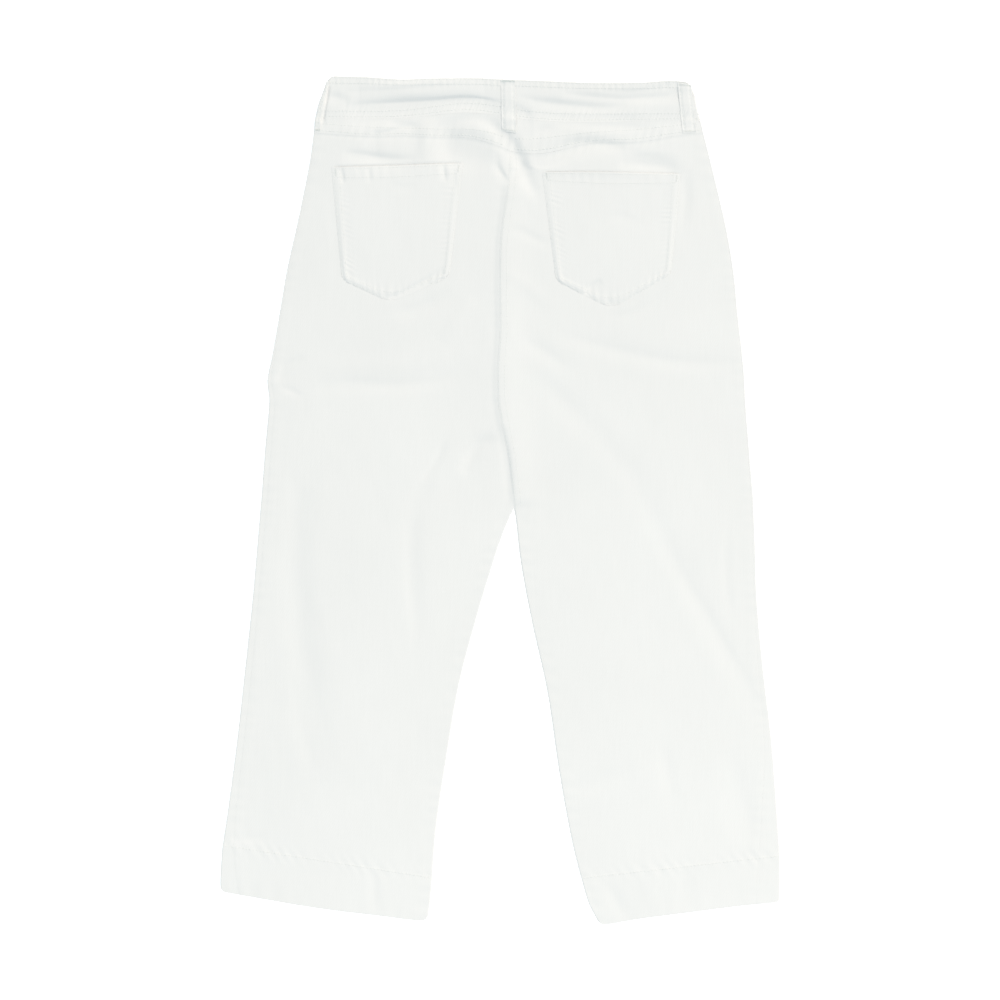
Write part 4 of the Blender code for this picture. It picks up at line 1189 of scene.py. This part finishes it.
def ranged(tree, value, start, end, low, high):
    """A value carried over from between two ends to between two others."""
    settings = {"From Min": start, "From Max": end, "To Min": low, "To Max": high}
    return add_node(tree, "ShaderNodeMapRange", settings, {"Value": value}).outputs["Result"]


def raised(tree, height, strength, distance, over=None):
    """The bump of a pattern, on its own or over another bump."""
    settings = {"Strength": strength, "Distance": distance}
    links = {"Height": height, "Normal": over} if over else {"Height": height}
    return add_node(tree, "ShaderNodeBump", settings, links).outputs["Normal"]


def surfaced(tree, settings, links):
    """The shader of a material, joined to its output."""
    shader = add_node(tree, "ShaderNodeBsdfPrincipled", settings, links)
    add_node(tree, "ShaderNodeOutputMaterial", None, {"Surface": shader.outputs[0]})


def bleached_denim():
    """White stretch denim, cotton with a little elastane, twill-woven and bleached. The twill gives the eye
    fine slanting ribs, the uneven yarns faint streaks down the legs, and the nap a soft matt sheen."""
    finish, tree, place = new_finish("bleached cotton denim")
    # Real ribs are 0.6 mm apart. These are drawn at 2.1 mm, the least that shows at 1 mm to the pixel.
    ribs = pattern(tree, "Wave", mapped(tree, place, PER_MM, 28),
                   {"wave_type": "BANDS", "bands_direction": "X", "wave_profile": "SIN",
                    "Scale": WAVE_PER_MM / 2.1, "Distortion": 0.9, "Detail": 2.0, "Detail Scale": 1.4})
    # Yarn slubs: streaks about 1.3 mm wide and 26 mm long, down the legs
    slubs = pattern(tree, "Noise", mapped(tree, place, (770, 38, 770)),
                    {"Scale": 1.0, "Detail": 3.0, "Roughness": 0.6})
    # Weft yarns, drawn at 2.4 mm
    weft = pattern(tree, "Noise", mapped(tree, place, (60, 420, 420)),
                   {"Scale": 1.0, "Detail": 2.0, "Roughness": 0.55})
    clouds = pattern(tree, "Noise", place, {"Scale": 9.0, "Detail": 3.0, "Roughness": 0.5})
    tone = blended(tree, clouds, "#E4E2E0", "#EAE8E6")
    streaks = blended(tree, ranged(tree, slubs, 0.3, 0.7, 0.0, 0.2), tone, "#DEDDDB")
    colour = blended(tree, ranged(tree, ribs, 0.0, 1.0, 0.1, 0.0), streaks, "#D6D7D5")
    matt = ranged(tree, slubs, 0.3, 0.7, 0.82, 0.94)
    woven = raised(tree, ribs, 0.15, 0.00011)
    thick = raised(tree, weft, 0.15, 0.00009, woven)
    thin = raised(tree, slubs, 0.15, 0.00012, thick)
    surfaced(tree, {"IOR": 1.5, "Sheen Weight": 0.12, "Sheen Roughness": 0.5, "Specular IOR Level": 0.3},
             {"Base Color": colour, "Roughness": matt, "Normal": thin})
    return finish


def spun_thread(name, light, dark):
    """Sewing thread, polyester, spun. Its twist gives the eye a fine satin glint along each stitch."""
    finish, tree, place = new_finish(name)
    # Real plies twist every 0.5 mm, drawn at 1 mm
    plies = pattern(tree, "Wave", mapped(tree, place, PER_MM, 40), {"Scale": WAVE_PER_MM, "Distortion": 0.6})
    surfaced(tree, {"Roughness": 0.55, "IOR": 1.5, "Sheen Weight": 0.1},
             {"Base Color": blended(tree, plies, dark, light), "Normal": raised(tree, plies, 0.5, 0.0001)})
    return finish


def satin_nickel():
    """Nickel plate on a pressed button, brushed round. It gives the eye a grey metal with soft streaks."""
    finish, tree, place = new_finish("brushed nickel plate")
    # Brush marks are 0.2 mm apart, drawn at 0.5 mm
    marks = pattern(tree, "Wave", mapped(tree, place, PER_MM, 0, (-CENTRE_X, BUTTON_DOWN - LENGTH / 2, 0)),
                    {"wave_type": "RINGS", "rings_direction": "Z",
                     "Scale": 0.6, "Distortion": 1.5, "Detail": 3.0})
    surfaced(tree, {"Metallic": 1.0},
             {"Base Color": blended(tree, marks, "#A9A8A3", "#C4C3BD"),
              "Roughness": ranged(tree, marks, 0.0, 1.0, 0.28, 0.42),
              "Normal": raised(tree, marks, 0.3, 0.0001)})
    return finish


def lit_acrylic():
    """White cast acrylic for the floor, lit from below. It gives the eye an even white with no shadow."""
    finish, tree, place = new_finish("lit white acrylic")
    grain = pattern(tree, "Noise", place, {"Scale": 900.0, "Detail": 2.0})
    surfaced(tree, {"Roughness": 0.9, "IOR": 1.49, "Specular IOR Level": 0.2,
                    "Emission Color": (1, 1, 1, 1), "Emission Strength": FLOOR_GLOW},
             {"Base Color": blended(tree, grain, "#FAFAFA", "#FDFDFD"),
              "Normal": raised(tree, grain, 0.05, 0.0001)})
    return finish


def make_floor():
    """A plain white floor."""
    half = FLOOR_SIDE / 2
    mesh = bpy.data.meshes.new("floor")
    corners = [(-half, -half, FLOOR_Z), (half, -half, FLOOR_Z), (half, half, FLOOR_Z), (-half, half, FLOOR_Z)]
    mesh.from_pydata(corners, [], [(0, 1, 2, 3)])
    mesh.materials.append(lit_acrylic())
    floor = new_object("floor", mesh)
    return floor


def make_light():
    """A bright even dome, one large soft light from the top right, and a weak one beyond the hems."""
    world = bpy.data.worlds.new("studio")
    world.use_nodes = True
    sky = world.node_tree.nodes["Background"]
    sky.inputs["Color"].default_value = linear(DOME_COLOUR)
    sky.inputs["Strength"].default_value = DOME_STRENGTH
    bpy.context.scene.world = world
    for name, place, side, power, colour in LAMPS:
        lamp = bpy.data.lights.new(name, "AREA")
        lamp.shape = "SQUARE"
        lamp.size = side
        lamp.energy = power
        lamp.color = linear(colour)[:3]
        light = new_object(name, lamp)
        light.location = place
        light.rotation_euler = (-light.location).to_track_quat("-Z", "Y").to_euler()


def make_camera():
    """Straight down from far enough that a millimetre of the garment is a pixel."""
    lens = bpy.data.cameras.new("camera")
    lens.lens = CAMERA_LENS
    lens.sensor_width = CAMERA_SENSOR
    camera = new_object("camera", lens)
    distance = FRAME_WIDTH * CAMERA_LENS / CAMERA_SENSOR
    camera.location = ((FRAME_WIDTH / 2 - PHOTO_MIDDLE) * MM, (LENGTH / 2 - FRAME_WIDTH / 2 + PHOTO_TOP) * MM,
                       (distance + SECTIONS[HEM_SEAM].height) * MM)
    bpy.context.scene.camera = camera


def leg_cut(side, first, last, seams, count=400):
    """Width, length and area of a leg piece between two sections, in mm. seams is 1 for a piece that reaches
    round the edge to the side seam, and -1 for one that ends at it."""
    row = leg_row(side, np.linspace(first, last, count))
    depth = (row.outer_down + row.inner_down) / 2
    width = row.width + seams * row.seam
    return width.max(), depth[-1] - depth[0], float(((width[1:] + width[:-1]) / 2 * np.diff(depth)).sum())


def declare_sheets(panels, patches, straps, floor):
    """The cut of each leg piece, and the piece below each panel, worked out and then left unused."""
    cuts = []
    for side in INWARD:
        cuts += [leg_cut(side, 0, YOKE_SEAM, -1, 50), leg_cut(side, YOKE_SEAM, HEM_EDGE, -1),
                 leg_cut(side, 0, HEM_EDGE, 1)]
    for panel, (width, length, area) in zip(panels, cuts):
        below = panel.name.replace("back", "front").replace("yoke", "front")
        below = floor.name if below == panel.name else below
    for piece, pocket in zip(patches, POCKETS):
        width = math.dist(pocket.left_top, pocket.right_top)
    for strap, loop in zip(straps, LOOPS):
        width, length = loop.foot_to - loop.foot_from, loop.foot_down - loop.head_down


def main():
    """Every piece, its light and its camera."""
    denim = bleached_denim()
    white_thread = spun_thread("spun white thread", "#F0F0EC", "#E2E3DF")
    # Thread greyed as painted shade, for the dark caps at the loop heads; the sewing thread itself is white
    painted_shade_thread = spun_thread("spun thread greyed for painted shade", "#E3E7E4", "#D6DBD8")
    panels = make_leg_panels(denim)
    band = make_waistband(denim)
    patches = make_pockets(denim)
    straps = make_loops(denim)
    sew_legs(white_thread)
    sew_waistband(white_thread)
    sew_pockets(white_thread)
    sew_loops(white_thread, painted_shade_thread)
    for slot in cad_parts["button"].material_slots:
        slot.material = satin_nickel()
    declare_sheets(panels, patches, straps, make_floor())
    make_light()
    make_camera()
    bpy.context.scene.view_settings.view_transform = "Standard"
    bpy.context.scene.view_settings.look = "None"


main()
